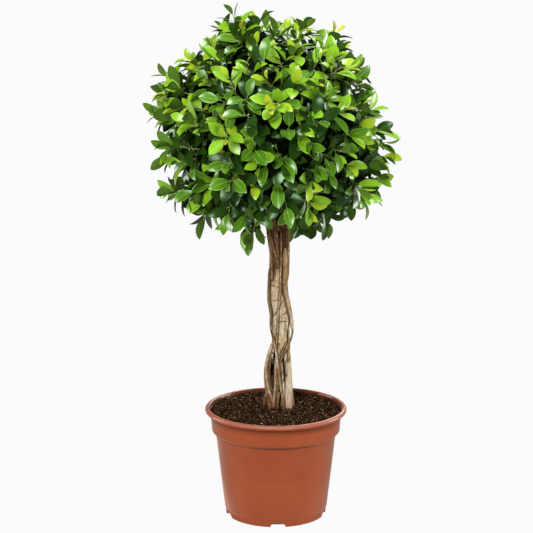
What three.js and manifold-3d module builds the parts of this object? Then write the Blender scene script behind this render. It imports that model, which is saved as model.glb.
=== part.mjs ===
// A potted standard tree: a small-leaved fig grown as a round head on a bare, root-bound stem, in a nursery
// pot. Millimetres, +Z up. The origin is the middle of the pot's flat underside, and -Y is the front.
import * as THREE from "three";
import { OBB } from "three/addons/math/OBB.js";
import { mergeVertices } from "three/addons/utils/BufferGeometryUtils.js";
import Module from "manifold-3d";

const wasm = await Module();
wasm.setup();

// Driving sizes of the whole plant
const GAP = 0.3; // clearance kept between touching pieces
const SOIL_LEVEL = 205;
const CROWN_CENTRE = new THREE.Vector3(-6, 0, 740);
const CROWN_SQUASH = 0.94; // height of the head as a share of its width
const SEED = 20;

// Pot
const POT_HEIGHT = 209;
const RIM_RADIUS = 135;
const LIP = 8.5; // width and height of the rolled lip
const COLLAR_TOP_RADIUS = 125;
const COLLAR_RADIUS = 122.5;
const COLLAR_FOOT = 167;
const LEDGE_LEVEL = 159;
const BODY_TOP_RADIUS = 114.8;
const BODY_FOOT_RADIUS = 98.4;
const FOOT_STEP_LEVEL = 14;
const FOOT_RADIUS = 96.2;
const FOOT_ROUND = 1.2;
const WALL = 2.4;
const POT_SEGMENTS = 40;
const PLATEAU_RADIUS = 50; // the flat middle of the underside, level with the foot ring
const CHANNEL_HEIGHT = 9; // of the hollow ring between the two, where the water drains
const NOTCHES = 5;
const FRONT_NOTCH_TURN = THREE.MathUtils.degToRad(2.5);
const NOTCH_HEIGHT = 8;
const NOTCH_FOOT_WIDTH = 31;
const NOTCH_TOP_WIDTH = 22;
const NOTCH_DEPTH = 16; // right through the foot ring
const DRAIN_RADIUS = 4.5;
const DRAIN_RING = 80;

// Trunk
const TRUNK_TOP = 600;
const GROUND = -12; // where the stem and its roots start, below the soil's level, before the flat cut
const STEM_SIDES = 12;
const STEM_STEPS = 14;
const STRAND_STEPS = 7;
// The stem at heights above the soil: how far its middle lies to the right and to the back, and its radius.
const STEM_STATIONS = [
  { height: GROUND, right: 7, back: 13, radius: 19 },
  { height: 58, right: 10, back: 11, radius: 15.5 },
  { height: 125, right: 10, back: 9, radius: 15 },
  { height: 170, right: 10, back: 7, radius: 17.5 },
  { height: 220, right: 4, back: 5, radius: 17.5 },
  { height: 295, right: 4, back: 2, radius: 15 },
  { height: TRUNK_TOP - SOIL_LEVEL, right: 1, back: 0, radius: 15.5 },
];
// Roots and stems grown onto the trunk. Turns are degrees round the stem from the front towards the right,
// from and to are heights above the soil, swing is extra turn and bulge extra distance half way.
const STRANDS = [
  { from: GROUND, to: 135, turn: [-22, -62], swing: -28, bulge: 15, radius: [7.5, 6], sides: 6 },
  { from: GROUND, to: 147, turn: [-32, -14], swing: 0, bulge: 4, radius: [7, 5], sides: 5 },
  { from: GROUND, to: 117, turn: [18, -12], swing: 4, bulge: 4, radius: [4, 3.2], sides: 5 },
  { from: GROUND, to: 145, turn: [-112, -95], swing: 0, bulge: 7, radius: [8, 6], sides: 6 },
  { from: GROUND, to: 130, turn: [82, 100], swing: 0, bulge: 0, radius: [10, 4.5], sides: 6 },
  { from: GROUND, to: 210, turn: [-158, -130], swing: 12, bulge: 1, radius: [9, 6.5], sides: 6 },
  { from: GROUND, to: 265, turn: [145, 205], swing: 20, bulge: 2, radius: [8.5, 5], sides: 6 },
  { from: 98, to: 262, turn: [-4, 22], swing: 84, bulge: 2, radius: [4.5, 5], sides: 5 },
  { from: 232, to: 352, turn: [14, 10], swing: 0, bulge: 2, radius: [3.4, 3.4], sides: 5 },
  { from: 116, to: 288, turn: [-18, -66], swing: -48, bulge: 2, radius: [4.4, 4], sides: 5 },
  { from: 258, to: 385, turn: [-12, -72], swing: 0, bulge: 3, radius: [7, 9], sides: 6 },
  { from: 246, to: 388, turn: [-2, -30], swing: 0, bulge: 2, radius: [5.5, 7.5], sides: 6 },
  { from: 228, to: 386, turn: [62, 84], swing: 0, bulge: 2, radius: [7, 9], sides: 6 },
  { from: 178, to: 388, turn: [178, 142], swing: 0, bulge: 2, radius: [7, 9], sides: 6 },
];
const STRAND_SEAT = 2; // how far a strand's middle lies inside the stem's surface
const STRAND_RUN_IN = 0.2; // share of a strand over which an end above the ground sinks into the stem
const ROOT_FLARE = { reach: 7, fade: 22 }; // how far roots spread at the ground, and how that fades

// Boughs and the masses of foliage that they carry
const BOUGH_SIDES = 6;
const BOUGH_STEPS = 5;
const MASS_DISTANCE = 132; // from the crown's centre to each mass's middle
const BOUGH_END = 64; // from a mass's middle to the end of its bough
const CORE_OUTSIDE = 186; // from the crown's centre to the outside of the cores
const CORE_REACH = 96; // from a mass's middle
const RING_COUNT = 5;
const RINGS = [
  { name: "lower", elevation: -29, firstTurn: 14, forkLevel: 556, boughRadius: [7.5, 4.5], spread: 10 },
  { name: "upper", elevation: 24, firstTurn: 50, forkLevel: 580, boughRadius: [7, 4.5], spread: 16 },
];
const TOP_BOUGH_RADIUS = [7, 4.5];
const FORK_REACH = 11; // how far from the trunk's middle the boughs start

// Twigs and leaves
const TWIG_TIPS = 95;
const TWIG_TIP_RADIUS = 197; // from the crown's centre
const TWIG_TIP_SPREAD = 9;
const TWIG_START = 0.2; // share of the way from a mass's middle to the twig's tip
const TWIG_RADIUS = [3.2, 2.5];
const LEAF_LENGTH = 55;
const LEAF_WIDTH = 31;
const LEAF_WIDEST = 0.63; // share of the length
const LEAF_THICK = [1.3, 0.8]; // at the stalk and at the tip
const LEAF_SINK = 0.4; // how far past the middle of its twig a leaf begins
const LEAF_PLACES = [23, 16, 9, 2.5]; // back from a twig's tip
const END_LEAF = { place: 1.5, lean: 0.3 }; // on a long shoot
const GOLDEN_TURN = Math.PI * (3 - Math.sqrt(5));
// How far leaves, then cores, stay from the middle of a bough and of the trunk.
const LEAF_CLEAR = { bough: 10, trunk: 30 };
const CORE_CLEAR = { bough: 11, trunk: 34 };
// Long shoots that stand out of the head: turn and elevation in degrees, and the distance of their ends.
const SHOOTS = [
  { turn: -92, elevation: 8, reach: 208 },
  { turn: -90, elevation: 26, reach: 194 },
  { turn: -84, elevation: 56, reach: 188 },
  { turn: -86, elevation: 73, reach: 211 },
  { turn: 84, elevation: 56, reach: 188 },
  { turn: 88, elevation: -14, reach: 208 },
  { turn: 88, elevation: -38, reach: 212 },
  { turn: -84, elevation: -34, reach: 214 },
  { turn: -84, elevation: -53, reach: 204 },
  { turn: -62, elevation: -78, reach: 204 },
  { turn: 172, elevation: 18, reach: 204 },
  { turn: -150, elevation: -25, reach: 204 },
];
// Where the head swells or falls back: turn and elevation in degrees, how far, and how widely in degrees.
const LOBES = [
  { turn: 90, elevation: 22, swell: -22, width: 20 },
  { turn: 88, elevation: 52, swell: 10, width: 12 },
  { turn: 88, elevation: -20, swell: 16, width: 12 },
  { turn: 88, elevation: -52, swell: -22, width: 14 },
  { turn: -90, elevation: 18, swell: 13, width: 18 },
  { turn: -90, elevation: -14, swell: -20, width: 12 },
  { turn: -88, elevation: -36, swell: 12, width: 12 },
  { turn: -86, elevation: -62, swell: -16, width: 13 },
  { turn: -88, elevation: 46, swell: -10, width: 14 },
  { turn: -88, elevation: 72, swell: 8, width: 12 },
  { turn: 25, elevation: 30, swell: 9, width: 22 },
  { turn: -35, elevation: -22, swell: -10, width: 18 },
  { turn: 40, elevation: -30, swell: 8, width: 16 },
  { turn: 178, elevation: 36, swell: 10, width: 22 },
  { turn: 145, elevation: -8, swell: -16, width: 20 },
  { turn: -145, elevation: 4, swell: -12, width: 18 },
  { turn: -170, elevation: -36, swell: 10, width: 18 },
];

const degrees = THREE.MathUtils.degToRad;
const UP = new THREE.Vector3(0, 0, 1);

// Unit vector at a turn from the front towards the right, and an elevation, both in radians.
function heading(turn, elevation) {
  const level = Math.cos(elevation);
  return new THREE.Vector3(Math.sin(turn) * level, -Math.cos(turn) * level, Math.sin(elevation));
}

// How much further out than a plain ball the head reaches in a direction
function swellAt(direction) {
  return LOBES.reduce((sum, lobe) => {
    const away = direction.angleTo(heading(degrees(lobe.turn), degrees(lobe.elevation)));
    return sum + lobe.swell * Math.exp(-((away / degrees(lobe.width)) ** 2));
  }, 0);
}

function crownPoint(direction, distance) {
  return new THREE.Vector3(
    CROWN_CENTRE.x + direction.x * distance,
    CROWN_CENTRE.y + direction.y * distance,
    CROWN_CENTRE.z + direction.z * distance * CROWN_SQUASH,
  );
}

// A repeatable source of numbers from 0 to 1.
function numbersFrom(seed) {
  let state = seed;
  return () => {
    state = (state + 0x6d2b79f5) | 0;
    let t = Math.imul(state ^ (state >>> 15), 1 | state);
    t = (t + Math.imul(t ^ (t >>> 7), 61 | t)) ^ t;
    return ((t ^ (t >>> 14)) >>> 0) / 2 ** 32;
  };
}
const random = numbersFrom(SEED);
const between = (low, high) => low + (high - low) * random();

// Solids for joining and cutting, and back to geometry
function solidOf(geometry) {
  const bare = geometry.clone();
  bare.deleteAttribute("normal");
  bare.deleteAttribute("uv");
  const merged = mergeVertices(bare, 1e-4);
  return new wasm.Manifold(
    new wasm.Mesh({
      numProp: 3,
      vertProperties: new Float32Array(merged.attributes.position.array),
      triVerts: new Uint32Array(merged.index.array),
    }),
  );
}

function geometryOf(solid) {
  const mesh = solid.getMesh();
  const geometry = new THREE.BufferGeometry();
  geometry.setAttribute("position", new THREE.BufferAttribute(mesh.vertProperties, 3));
  geometry.setIndex(new THREE.BufferAttribute(mesh.triVerts, 1));
  geometry.computeVertexNormals();
  return geometry;
}

const joined = (solids) => solids.reduce((whole, piece) => whole.add(piece));

const facets = (points, faces) => {
  const geometry = new THREE.BufferGeometry();
  geometry.setAttribute("position", new THREE.Float32BufferAttribute(points.flatMap((p) => p.toArray()), 3));
  geometry.setIndex(faces.flat());
  return geometry;
};

// A closed limb along a curve, its radius given by a function of the share of the way along.
function limb(curve, radiusAt, sides, steps) {
  const frames = curve.computeFrenetFrames(steps, false);
  const points = [];
  const faces = [];
  for (let i = 0; i <= steps; i++) {
    const middle = curve.getPointAt(i / steps);
    const radius = radiusAt(i / steps);
    for (let k = 0; k < sides; k++) {
      const angle = (2 * Math.PI * k) / sides;
      points.push(
        middle
          .clone()
          .addScaledVector(frames.normals[i], radius * Math.cos(angle))
          .addScaledVector(frames.binormals[i], radius * Math.sin(angle)),
      );
    }
  }
  for (let i = 0; i < steps; i++)
    for (let k = 0; k < sides; k++) {
      const a = i * sides + k;
      const b = i * sides + ((k + 1) % sides);
      faces.push([a, b, b + sides], [a, b + sides, a + sides]);
    }
  const last = steps * sides;
  for (let k = 1; k < sides - 1; k++) {
    faces.push([0, k + 1, k]);
    faces.push([last, last + k, last + k + 1]);
  }
  return facets(points, faces);
}

const shareBetween = ([start, end]) => (share) => start + (end - start) * share;

// Pot: a turned shell with a rolled lip, a collar and a foot with drainage notches
const rimLow = POT_HEIGHT - LIP;
const OUTER_PROFILE = [
  [FOOT_RADIUS - FOOT_ROUND, 0],
  [FOOT_RADIUS, FOOT_ROUND],
  [FOOT_RADIUS + 0.8, FOOT_STEP_LEVEL - 1],
  [BODY_FOOT_RADIUS, FOOT_STEP_LEVEL],
  [BODY_TOP_RADIUS, LEDGE_LEVEL],
  [COLLAR_RADIUS - 1.8, COLLAR_FOOT - 3.5],
  [COLLAR_RADIUS, COLLAR_FOOT + 1.5],
  [COLLAR_TOP_RADIUS, rimLow],
  [RIM_RADIUS - 2.5, rimLow],
  [RIM_RADIUS - 0.4, rimLow + LIP * 0.3],
  [RIM_RADIUS - 0.4, rimLow + LIP * 0.65],
  [RIM_RADIUS - 3, POT_HEIGHT],
  [RIM_RADIUS - LIP, POT_HEIGHT],
];
const INNER_PROFILE = [
  [RIM_RADIUS - LIP - 0.6, POT_HEIGHT - 1.5],
  [COLLAR_RADIUS - WALL + 0.6, COLLAR_FOOT],
  [BODY_TOP_RADIUS - WALL, LEDGE_LEVEL - WALL],
  [FOOT_RADIUS - WALL, CHANNEL_HEIGHT + WALL],
  [PLATEAU_RADIUS - 1, CHANNEL_HEIGHT + WALL],
  [PLATEAU_RADIUS - 2.5, WALL],
];
const UNDERSIDE = [
  [PLATEAU_RADIUS, 0],
  [PLATEAU_RADIUS + 1.5, CHANNEL_HEIGHT],
  [FOOT_RADIUS - WALL - 1.8, CHANNEL_HEIGHT],
  [FOOT_RADIUS - WALL - 1.4, 0],
];

function turned(profile, segments = POT_SEGMENTS) {
  return new THREE.LatheGeometry(
    profile.map(([radius, height]) => new THREE.Vector2(radius, height)),
    segments,
  ).rotateX(Math.PI / 2);
}

// A block with sloping sides, which cuts a notch through the foot ring at the given turn.
function notchBlock(turn) {
  const foot = NOTCH_FOOT_WIDTH / 2;
  const top = NOTCH_TOP_WIDTH / 2;
  const outline = new THREE.Shape([
    new THREE.Vector2(-foot, -1),
    new THREE.Vector2(foot, -1),
    new THREE.Vector2(top, NOTCH_HEIGHT),
    new THREE.Vector2(-top, NOTCH_HEIGHT),
  ]);
  const block = new THREE.ExtrudeGeometry(outline, { depth: NOTCH_DEPTH, bevelEnabled: false });
  block.rotateX(Math.PI / 2);
  block.translate(0, 0.75 * NOTCH_DEPTH - FOOT_RADIUS, 0);
  return solidOf(block.rotateZ(turn));
}

function makePot() {
  const turns = Array.from({ length: NOTCHES }, (_, i) => FRONT_NOTCH_TURN + (2 * Math.PI * i) / NOTCHES);
  const shell = solidOf(turned([[0, 0], ...UNDERSIDE, ...OUTER_PROFILE, ...INNER_PROFILE, [0, WALL]]));
  const drain = new THREE.CylinderGeometry(DRAIN_RADIUS, DRAIN_RADIUS, 8, 8).rotateX(Math.PI / 2);
  drain.translate(0, -DRAIN_RING, CHANNEL_HEIGHT + WALL / 2);
  const drains = turns.map((turn) => solidOf(drain.clone().rotateZ(turn)));
  return shell.subtract(joined(turns.map(notchBlock))).subtract(joined(drains));
}

// Soil: fills the pot to just under the lip, uneven on top but level under the trunk
const SOIL_RINGS = [108, 76];
const SOIL_SEAT = 46;

function innerRadiusAt(height) {
  const [collarRadius, collarLevel] = INNER_PROFILE[1];
  const [lipRadius, lipLevel] = INNER_PROFILE[0];
  return collarRadius + ((lipRadius - collarRadius) * (height - collarLevel)) / (lipLevel - collarLevel);
}

function makeSoil() {
  const side = INNER_PROFILE.slice(1)
    .reverse()
    .map(([radius, height]) => [radius - GAP, height + (height < LEDGE_LEVEL - 5 ? GAP : 0)]);
  const edge = [innerRadiusAt(SOIL_LEVEL - 2) - GAP, SOIL_LEVEL - 2];
  const top = [...SOIL_RINGS, SOIL_SEAT].map((radius) => [radius, SOIL_LEVEL]);
  const soil = turned([[0, WALL + GAP], ...side, edge, ...top, [0, SOIL_LEVEL]]);
  const at = soil.attributes.position;
  for (let i = 0; i < at.count; i++) {
    const radius = Math.hypot(at.getX(i), at.getY(i));
    if (at.getZ(i) > SOIL_LEVEL - 1 && radius > SOIL_SEAT + 1) {
      const turn = Math.atan2(at.getY(i), at.getX(i));
      const lump = Math.sin(3 * turn + radius / 9) + Math.sin(5 * turn - radius / 6) - 1;
      at.setZ(i, SOIL_LEVEL + lump);
    }
  }
  return solidOf(soil);
}

// Trunk: one main stem with roots and lesser stems grown onto it
const stemCurve = new THREE.CatmullRomCurve3(
  STEM_STATIONS.map(({ height, right, back }) => new THREE.Vector3(right, back, SOIL_LEVEL + height)),
  false,
  "catmullrom",
  0.5,
);

function stemAt(height) {
  const next = Math.max(1, STEM_STATIONS.findIndex((s) => s.height >= height));
  const low = STEM_STATIONS[next - 1];
  const high = STEM_STATIONS[next];
  const share = THREE.MathUtils.smoothstep(height, low.height, high.height);
  return {
    right: THREE.MathUtils.lerp(low.right, high.right, share),
    back: THREE.MathUtils.lerp(low.back, high.back, share),
    radius: THREE.MathUtils.lerp(low.radius, high.radius, share),
  };
}

function makeStem(grow) {
  const low = STEM_STATIONS[0].height;
  const high = STEM_STATIONS[STEM_STATIONS.length - 1].height;
  const radiusAt = (share) => stemAt(low + (high - low) * share).radius + grow;
  return solidOf(limb(stemCurve, radiusAt, STEM_SIDES, STEM_STEPS));
}

function strandCurve({ from, to, turn, swing, bulge, radius }) {
  const points = [];
  for (let i = 0; i <= STRAND_STEPS; i++) {
    const share = i / STRAND_STEPS;
    const height = from + (to - from) * share;
    const stem = stemAt(height);
    const halfway = Math.sin(Math.PI * share);
    const angle = degrees(shareBetween(turn)(share) + swing * halfway);
    const risen = Math.min(1, (1 - share) / STRAND_RUN_IN, from === GROUND ? 1 : share / STRAND_RUN_IN);
    const sunk = (1 - risen) * (STRAND_SEAT + shareBetween(radius)(share));
    const flare = from === GROUND ? ROOT_FLARE.reach * Math.exp(-(height - GROUND) / ROOT_FLARE.fade) : 0;
    const away = stem.radius - STRAND_SEAT + bulge * halfway - sunk + flare;
    const middle = new THREE.Vector3(stem.right, stem.back, SOIL_LEVEL + height);
    points.push(middle.addScaledVector(heading(angle, 0), away));
  }
  return new THREE.CatmullRomCurve3(points);
}

function makeTrunk(grow) {
  const strands = STRANDS.map((strand) => {
    const radii = strand.radius.map((radius) => radius + grow);
    return solidOf(limb(strandCurve(strand), shareBetween(radii), strand.sides, STRAND_STEPS));
  });
  const earth = new THREE.BoxGeometry(2 * RIM_RADIUS, 2 * RIM_RADIUS, POT_HEIGHT);
  earth.translate(0, 0, SOIL_LEVEL + GAP - POT_HEIGHT / 2);
  return joined([makeStem(grow), ...strands]).subtract(solidOf(earth));
}

// Boughs: each leaves the trunk below the head and ends where it enters its own mass
function makeSites() {
  const sites = RINGS.flatMap((ring) =>
    Array.from({ length: RING_COUNT }, (_, i) => {
      const turn = degrees(ring.firstTurn + (360 / RING_COUNT) * i + between(-5, 5));
      const direction = heading(turn, degrees(ring.elevation + between(-3, 3)));
      const outward = heading(turn, 0);
      const stem = stemAt(ring.forkLevel - SOIL_LEVEL);
      const stemMiddle = new THREE.Vector3(stem.right, stem.back, ring.forkLevel);
      return {
        name: `${ring.name}_${i + 1}`,
        middle: crownPoint(direction, MASS_DISTANCE),
        fork: stemMiddle.addScaledVector(outward, FORK_REACH),
        radius: ring.boughRadius,
        spread: outward.multiplyScalar(ring.spread),
      };
    }),
  );
  sites.push({
    name: "top",
    middle: crownPoint(UP, MASS_DISTANCE),
    fork: new THREE.Vector3(stemAt(TRUNK_TOP - SOIL_LEVEL - 1).right, 0, TRUNK_TOP - 12),
    radius: TOP_BOUGH_RADIUS,
    spread: new THREE.Vector3(),
  });
  for (const site of sites) {
    const inward = site.fork.clone().sub(site.middle).normalize();
    site.end = site.middle.clone().addScaledVector(inward, BOUGH_END);
    const knee = site.fork.clone().lerp(site.end, 0.4).add(site.spread);
    site.curve = new THREE.QuadraticBezierCurve3(site.fork, knee, site.end);
    site.into = site.curve.getTangentAt(1);
  }
  return sites;
}
const sites = makeSites();

function makeBough(site, trunkSleeve) {
  return solidOf(limb(site.curve, shareBetween(site.radius), BOUGH_SIDES, BOUGH_STEPS)).subtract(trunkSleeve);
}

// Each mass keeps to its own space: nearer to its own middle than to any other mass's
const wallsOf = (site) =>
  sites
    .filter((other) => other !== site)
    .map((other) => {
      const normal = other.middle.clone().sub(site.middle).normalize();
      const halfway = other.middle.clone().add(site.middle).multiplyScalar(0.5);
      return new THREE.Plane().setFromNormalAndCoplanarPoint(normal, halfway);
    });

const trunkLine = stemCurve.getPoints(24);
const limbPoints = sites.flatMap((site) => site.curve.getPoints(16));

const isInside = (point, walls) => walls.every((wall) => wall.distanceToPoint(point) < -GAP);

function keepsItsSpace(points, walls) {
  return points.every(
    (point) =>
      isInside(point, walls) &&
      limbPoints.every((limbPoint) => limbPoint.distanceTo(point) > LEAF_CLEAR.bough) &&
      trunkLine.every((linePoint) => linePoint.distanceTo(point) > LEAF_CLEAR.trunk),
  );
}

// A leaf is a folded blade of eight faces, thick at its stalk.
function leafPoints(root, along, face, length, width) {
  const side = new THREE.Vector3().crossVectors(along, face);
  const at = (lengthwise, sideways, lift) => {
    const point = root.clone().addScaledVector(along, lengthwise);
    return point.addScaledVector(side, sideways).addScaledVector(face, lift);
  };
  const widest = length * LEAF_WIDEST;
  const fold = width * 0.14;
  const [stalk, tip] = LEAF_THICK.map((thick) => thick / 2);
  return [
    at(-LEAF_SINK, 0, stalk),
    at(-LEAF_SINK, 0, -stalk),
    at(widest, width / 2, fold),
    at(widest, -width / 2, fold),
    at(length, 0, tip - length * 0.07),
    at(length, 0, -tip - length * 0.07),
  ];
}
const LEAF_FACES = [
  [0, 2, 4],
  [0, 4, 3],
  [1, 5, 2],
  [1, 3, 5],
  [0, 1, 2],
  [0, 3, 1],
  [2, 5, 4],
  [3, 4, 5],
];

// A box round a leaf's blade or a length of twig, for keeping leaves off each other.
function boxAlong(start, along, face, length, width, thickness) {
  const side = new THREE.Vector3().crossVectors(along, face);
  const frame = new THREE.Matrix4().makeBasis(along, side, face);
  const middle = start.clone().addScaledVector(along, length / 2);
  const half = new THREE.Vector3(length / 2, width / 2, thickness / 2);
  return new OBB(middle, half, new THREE.Matrix3().setFromMatrix4(frame));
}

// Sets a leaf on a twig, trying a few turns until it keeps to the mass's space.
function leafOn(root, twigWay, turn, lean, walls, taken) {
  const across = new THREE.Vector3().crossVectors(twigWay, UP).normalize();
  for (let attempt = 0; attempt < 9; attempt++) {
    const angle = turn + attempt * 0.9;
    const open = Math.max(0, lean - 0.12 * attempt);
    const spoke = across.clone().applyAxisAngle(twigWay, angle);
    const along = twigWay.clone().multiplyScalar(Math.cos(open)).addScaledVector(spoke, Math.sin(open));
    along.addScaledVector(UP, -0.16).normalize();
    const face = twigWay.clone().addScaledVector(UP, 0.35);
    face.addScaledVector(spoke, -0.2).addScaledVector(along, -face.dot(along)).normalize();
    const length = LEAF_LENGTH * between(0.86, 1.08);
    const width = LEAF_WIDTH * between(0.9, 1.08);
    const points = leafPoints(root, along, face, length, width);
    const blade = root.clone().addScaledVector(along, length * 0.16);
    const box = boxAlong(blade, along, face, length * 0.84, width * 0.8, 5);
    if (keepsItsSpace(points.slice(2), walls) && !taken.some((other) => other.intersectsOBB(box))) {
      taken.push(box);
      return solidOf(facets(points, LEAF_FACES));
    }
  }
  return null;
}

// How far a point lies from the crown's centre, as a distance across its width.
function depthInCrown(point) {
  const offset = point.clone().sub(CROWN_CENTRE);
  offset.z /= CROWN_SQUASH;
  return offset.length();
}

// A wall in front of each point of a limb, as seen from a mass's middle
const wallsBefore = (points, middle, clear) =>
  points.map((point) => {
    const normal = point.clone().sub(middle).normalize();
    const foot = point.clone().addScaledVector(normal, -clear);
    return new THREE.Plane().setFromNormalAndCoplanarPoint(normal, foot);
  });

// The core is the dense part of the head that the twigs grow out of. It reaches from the mass's middle
// towards the head's surface and its neighbours, as far as its own space and the limbs allow.
function makeCore(site, spaceWalls) {
  const walls = [
    ...spaceWalls,
    ...wallsBefore(limbPoints, site.middle, CORE_CLEAR.bough),
    ...wallsBefore(trunkLine, site.middle, CORE_CLEAR.trunk),
  ];
  const lump = new THREE.IcosahedronGeometry(1, 1);
  lump.deleteAttribute("normal");
  lump.deleteAttribute("uv");
  const ball = mergeVertices(lump, 1e-4);
  const at = ball.attributes.position;
  const way = new THREE.Vector3();
  for (let i = 0; i < at.count; i++) {
    way.fromBufferAttribute(at, i).normalize();
    const shell = CORE_OUTSIDE * between(0.93, 1.03);
    let reach = 12;
    let point = site.middle.clone();
    while (reach < CORE_REACH) {
      const next = site.middle.clone().addScaledVector(way, reach + 2);
      const swell = swellAt(next.clone().sub(CROWN_CENTRE).normalize());
      if (depthInCrown(next) > shell + swell || !isInside(next, walls)) break;
      point = next;
      reach += 2;
    }
    at.setXYZ(i, point.x, point.y, point.z);
  }
  return solidOf(ball);
}

const twigTips = Array.from({ length: TWIG_TIPS }, (_, i) => {
  const rise = 1 - (2 * (i + 0.5)) / TWIG_TIPS;
  const direction = heading(i * GOLDEN_TURN, Math.asin(rise));
  const distance = TWIG_TIP_RADIUS + swellAt(direction) + between(-TWIG_TIP_SPREAD, TWIG_TIP_SPREAD);
  return crownPoint(direction, distance);
});
const shootTips = SHOOTS.map(({ turn, elevation, reach }) =>
  crownPoint(heading(degrees(turn), degrees(elevation)), reach),
);
const nearestSite = (point) =>
  sites.reduce((best, site) => (site.middle.distanceTo(point) < best.middle.distanceTo(point) ? site : best));

function makeMass(site) {
  const walls = wallsOf(site);
  const taken = [];
  const stemRoot = site.end.clone().addScaledVector(site.into, GAP);
  const stemKnee = stemRoot.clone().addScaledVector(site.into, 12);
  const stem = new THREE.QuadraticBezierCurve3(stemRoot, stemKnee, site.middle);
  const pieces = [
    makeCore(site, walls),
    solidOf(limb(stem, shareBetween([site.radius[1], TWIG_RADIUS[0]]), BOUGH_SIDES, 2)),
  ];
  for (const tip of [...shootTips, ...twigTips].filter((point) => nearestSite(point) === site)) {
    const outward = tip.clone().sub(CROWN_CENTRE).normalize();
    const root = site.middle.clone().lerp(tip, TWIG_START);
    const twig = new THREE.LineCurve3(root, tip);
    const way = tip.clone().sub(root).normalize();
    if (!keepsItsSpace(twig.getPoints(12), walls)) continue;
    pieces.push(solidOf(limb(twig, shareBetween(TWIG_RADIUS), 3, 1)));
    const firstTurn = between(0, 2 * Math.PI);
    const settings = LEAF_PLACES.map((place) => ({ place, lean: between(0.75, 1.15) }));
    if (shootTips.includes(tip)) settings.unshift(END_LEAF);
    settings.forEach(({ place, lean }, i) => {
      const base = tip.clone().addScaledVector(way, -place);
      const growth = way.clone().lerp(outward, 0.6).normalize();
      const leaf = leafOn(base, growth, firstTurn + i * GOLDEN_TURN, lean, walls, taken);
      if (leaf) pieces.push(leaf);
    });
  }
  return joined(pieces);
}

// The whole plant
const PLASTIC = new THREE.MeshStandardMaterial({ color: 0xb2593a, roughness: 0.55 });
const SOIL = new THREE.MeshStandardMaterial({ color: 0x2e2119, roughness: 0.95 });
const BARK = new THREE.MeshStandardMaterial({ color: 0xa18a6b, roughness: 0.85 });
const LEAVES = new THREE.MeshStandardMaterial({ color: 0x4f8a2c, roughness: 0.45, flatShading: true });

const plant = new THREE.Group();

function show(name, solid, material) {
  const mesh = new THREE.Mesh(geometryOf(solid), material);
  mesh.name = name;
  plant.add(mesh);
}

show("pot", makePot(), PLASTIC);
show("soil", makeSoil(), SOIL);
show("trunk", makeTrunk(0), BARK);
const trunkSleeve = makeTrunk(GAP);
for (const site of sites) {
  show(`bough_${site.name}`, makeBough(site, trunkSleeve), BARK);
  show(`foliage_${site.name}`, makeMass(site), LEAVES);
}

export default plant;
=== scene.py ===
# %% [markdown]
# # A potted standard tree
# A small-leaved fig grown as a round head on a bare stem, in a plastic nursery pot. Its solids come first,
# as a fixed frame, and every piece here is made over them at the same place and size, in metres with Z up.

# %% The frame and the sizes that the pieces share
import math
import random
from collections import namedtuple

import bpy
import numpy as np
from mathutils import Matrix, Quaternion, Vector, noise
from mathutils.geometry import interpolate_bezier


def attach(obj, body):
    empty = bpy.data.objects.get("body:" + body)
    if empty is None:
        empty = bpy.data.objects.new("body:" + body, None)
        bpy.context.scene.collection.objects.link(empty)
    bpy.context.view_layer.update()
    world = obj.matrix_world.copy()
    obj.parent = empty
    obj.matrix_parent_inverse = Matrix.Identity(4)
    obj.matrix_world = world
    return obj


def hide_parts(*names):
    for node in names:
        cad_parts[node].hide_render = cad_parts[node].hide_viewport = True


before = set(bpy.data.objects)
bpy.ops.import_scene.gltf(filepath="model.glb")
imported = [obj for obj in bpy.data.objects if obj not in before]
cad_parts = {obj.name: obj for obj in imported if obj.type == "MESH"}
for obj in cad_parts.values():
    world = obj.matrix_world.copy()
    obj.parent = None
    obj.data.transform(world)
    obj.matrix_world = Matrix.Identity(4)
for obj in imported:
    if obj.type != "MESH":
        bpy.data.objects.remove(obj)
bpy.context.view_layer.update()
MM = 0.001
UP = Vector((0, 0, 1))


def heading(turn, elevation):
    """A unit vector at a turn from the front towards the right, and an elevation, in radians."""
    level = math.cos(elevation)
    return Vector((math.sin(turn) * level, -math.cos(turn) * level, math.sin(elevation)))


def between(share, ends):
    return ends[0] + (ends[1] - ends[0]) * share


# %% [markdown]
# ## Camera
# The camera is set before anything is modelled, so that every look at the work is from the same place. It
# stands a little above the pot and looks slightly down, far enough away for the pot's sides to keep their
# true slope.

# %% Camera
IMAGE_SIDE = 533
FOCAL_PIXELS = 1781.8
# Metres in front of the pot's middle and above the ground, and degrees down and to the left.
CAMERA_DISTANCE, CAMERA_HEIGHT = 3.2749, 1.181
LOOK_DOWN, LOOK_LEFT = 12.05, 0.3135
bpy.ops.object.camera_add(
    location=(0, -CAMERA_DISTANCE, CAMERA_HEIGHT),
    rotation=(math.radians(90 - LOOK_DOWN), 0, math.radians(LOOK_LEFT)),
)
camera = bpy.context.object
camera.name = "camera"
camera.data.sensor_width = 36
camera.data.lens = FOCAL_PIXELS / IMAGE_SIDE * camera.data.sensor_width
bpy.context.scene.camera = camera
print("lens", round(camera.data.lens, 2), "mm")

# %% [markdown]
# ## Lamps
# A glossy, dense plant looks flat when light comes evenly from everywhere. Large soft lamps stand all round
# it, the strongest in front at the upper left, and give its leaves their shine.

# %% Lamps


def add_lamp(name, place, size, power, aim=(0, 0, 0.55)):
    """A round lamp, so many metres across and so many watts, that points at a place on the plant."""
    bpy.ops.object.light_add(type="AREA", location=place)
    lamp = bpy.context.object
    lamp.name = name
    lamp.data.shape = "DISK"
    lamp.data.size = size
    lamp.data.energy = power
    lamp.rotation_euler = (Vector(aim) - Vector(place)).to_track_quat("-Z", "Y").to_euler()


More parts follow.
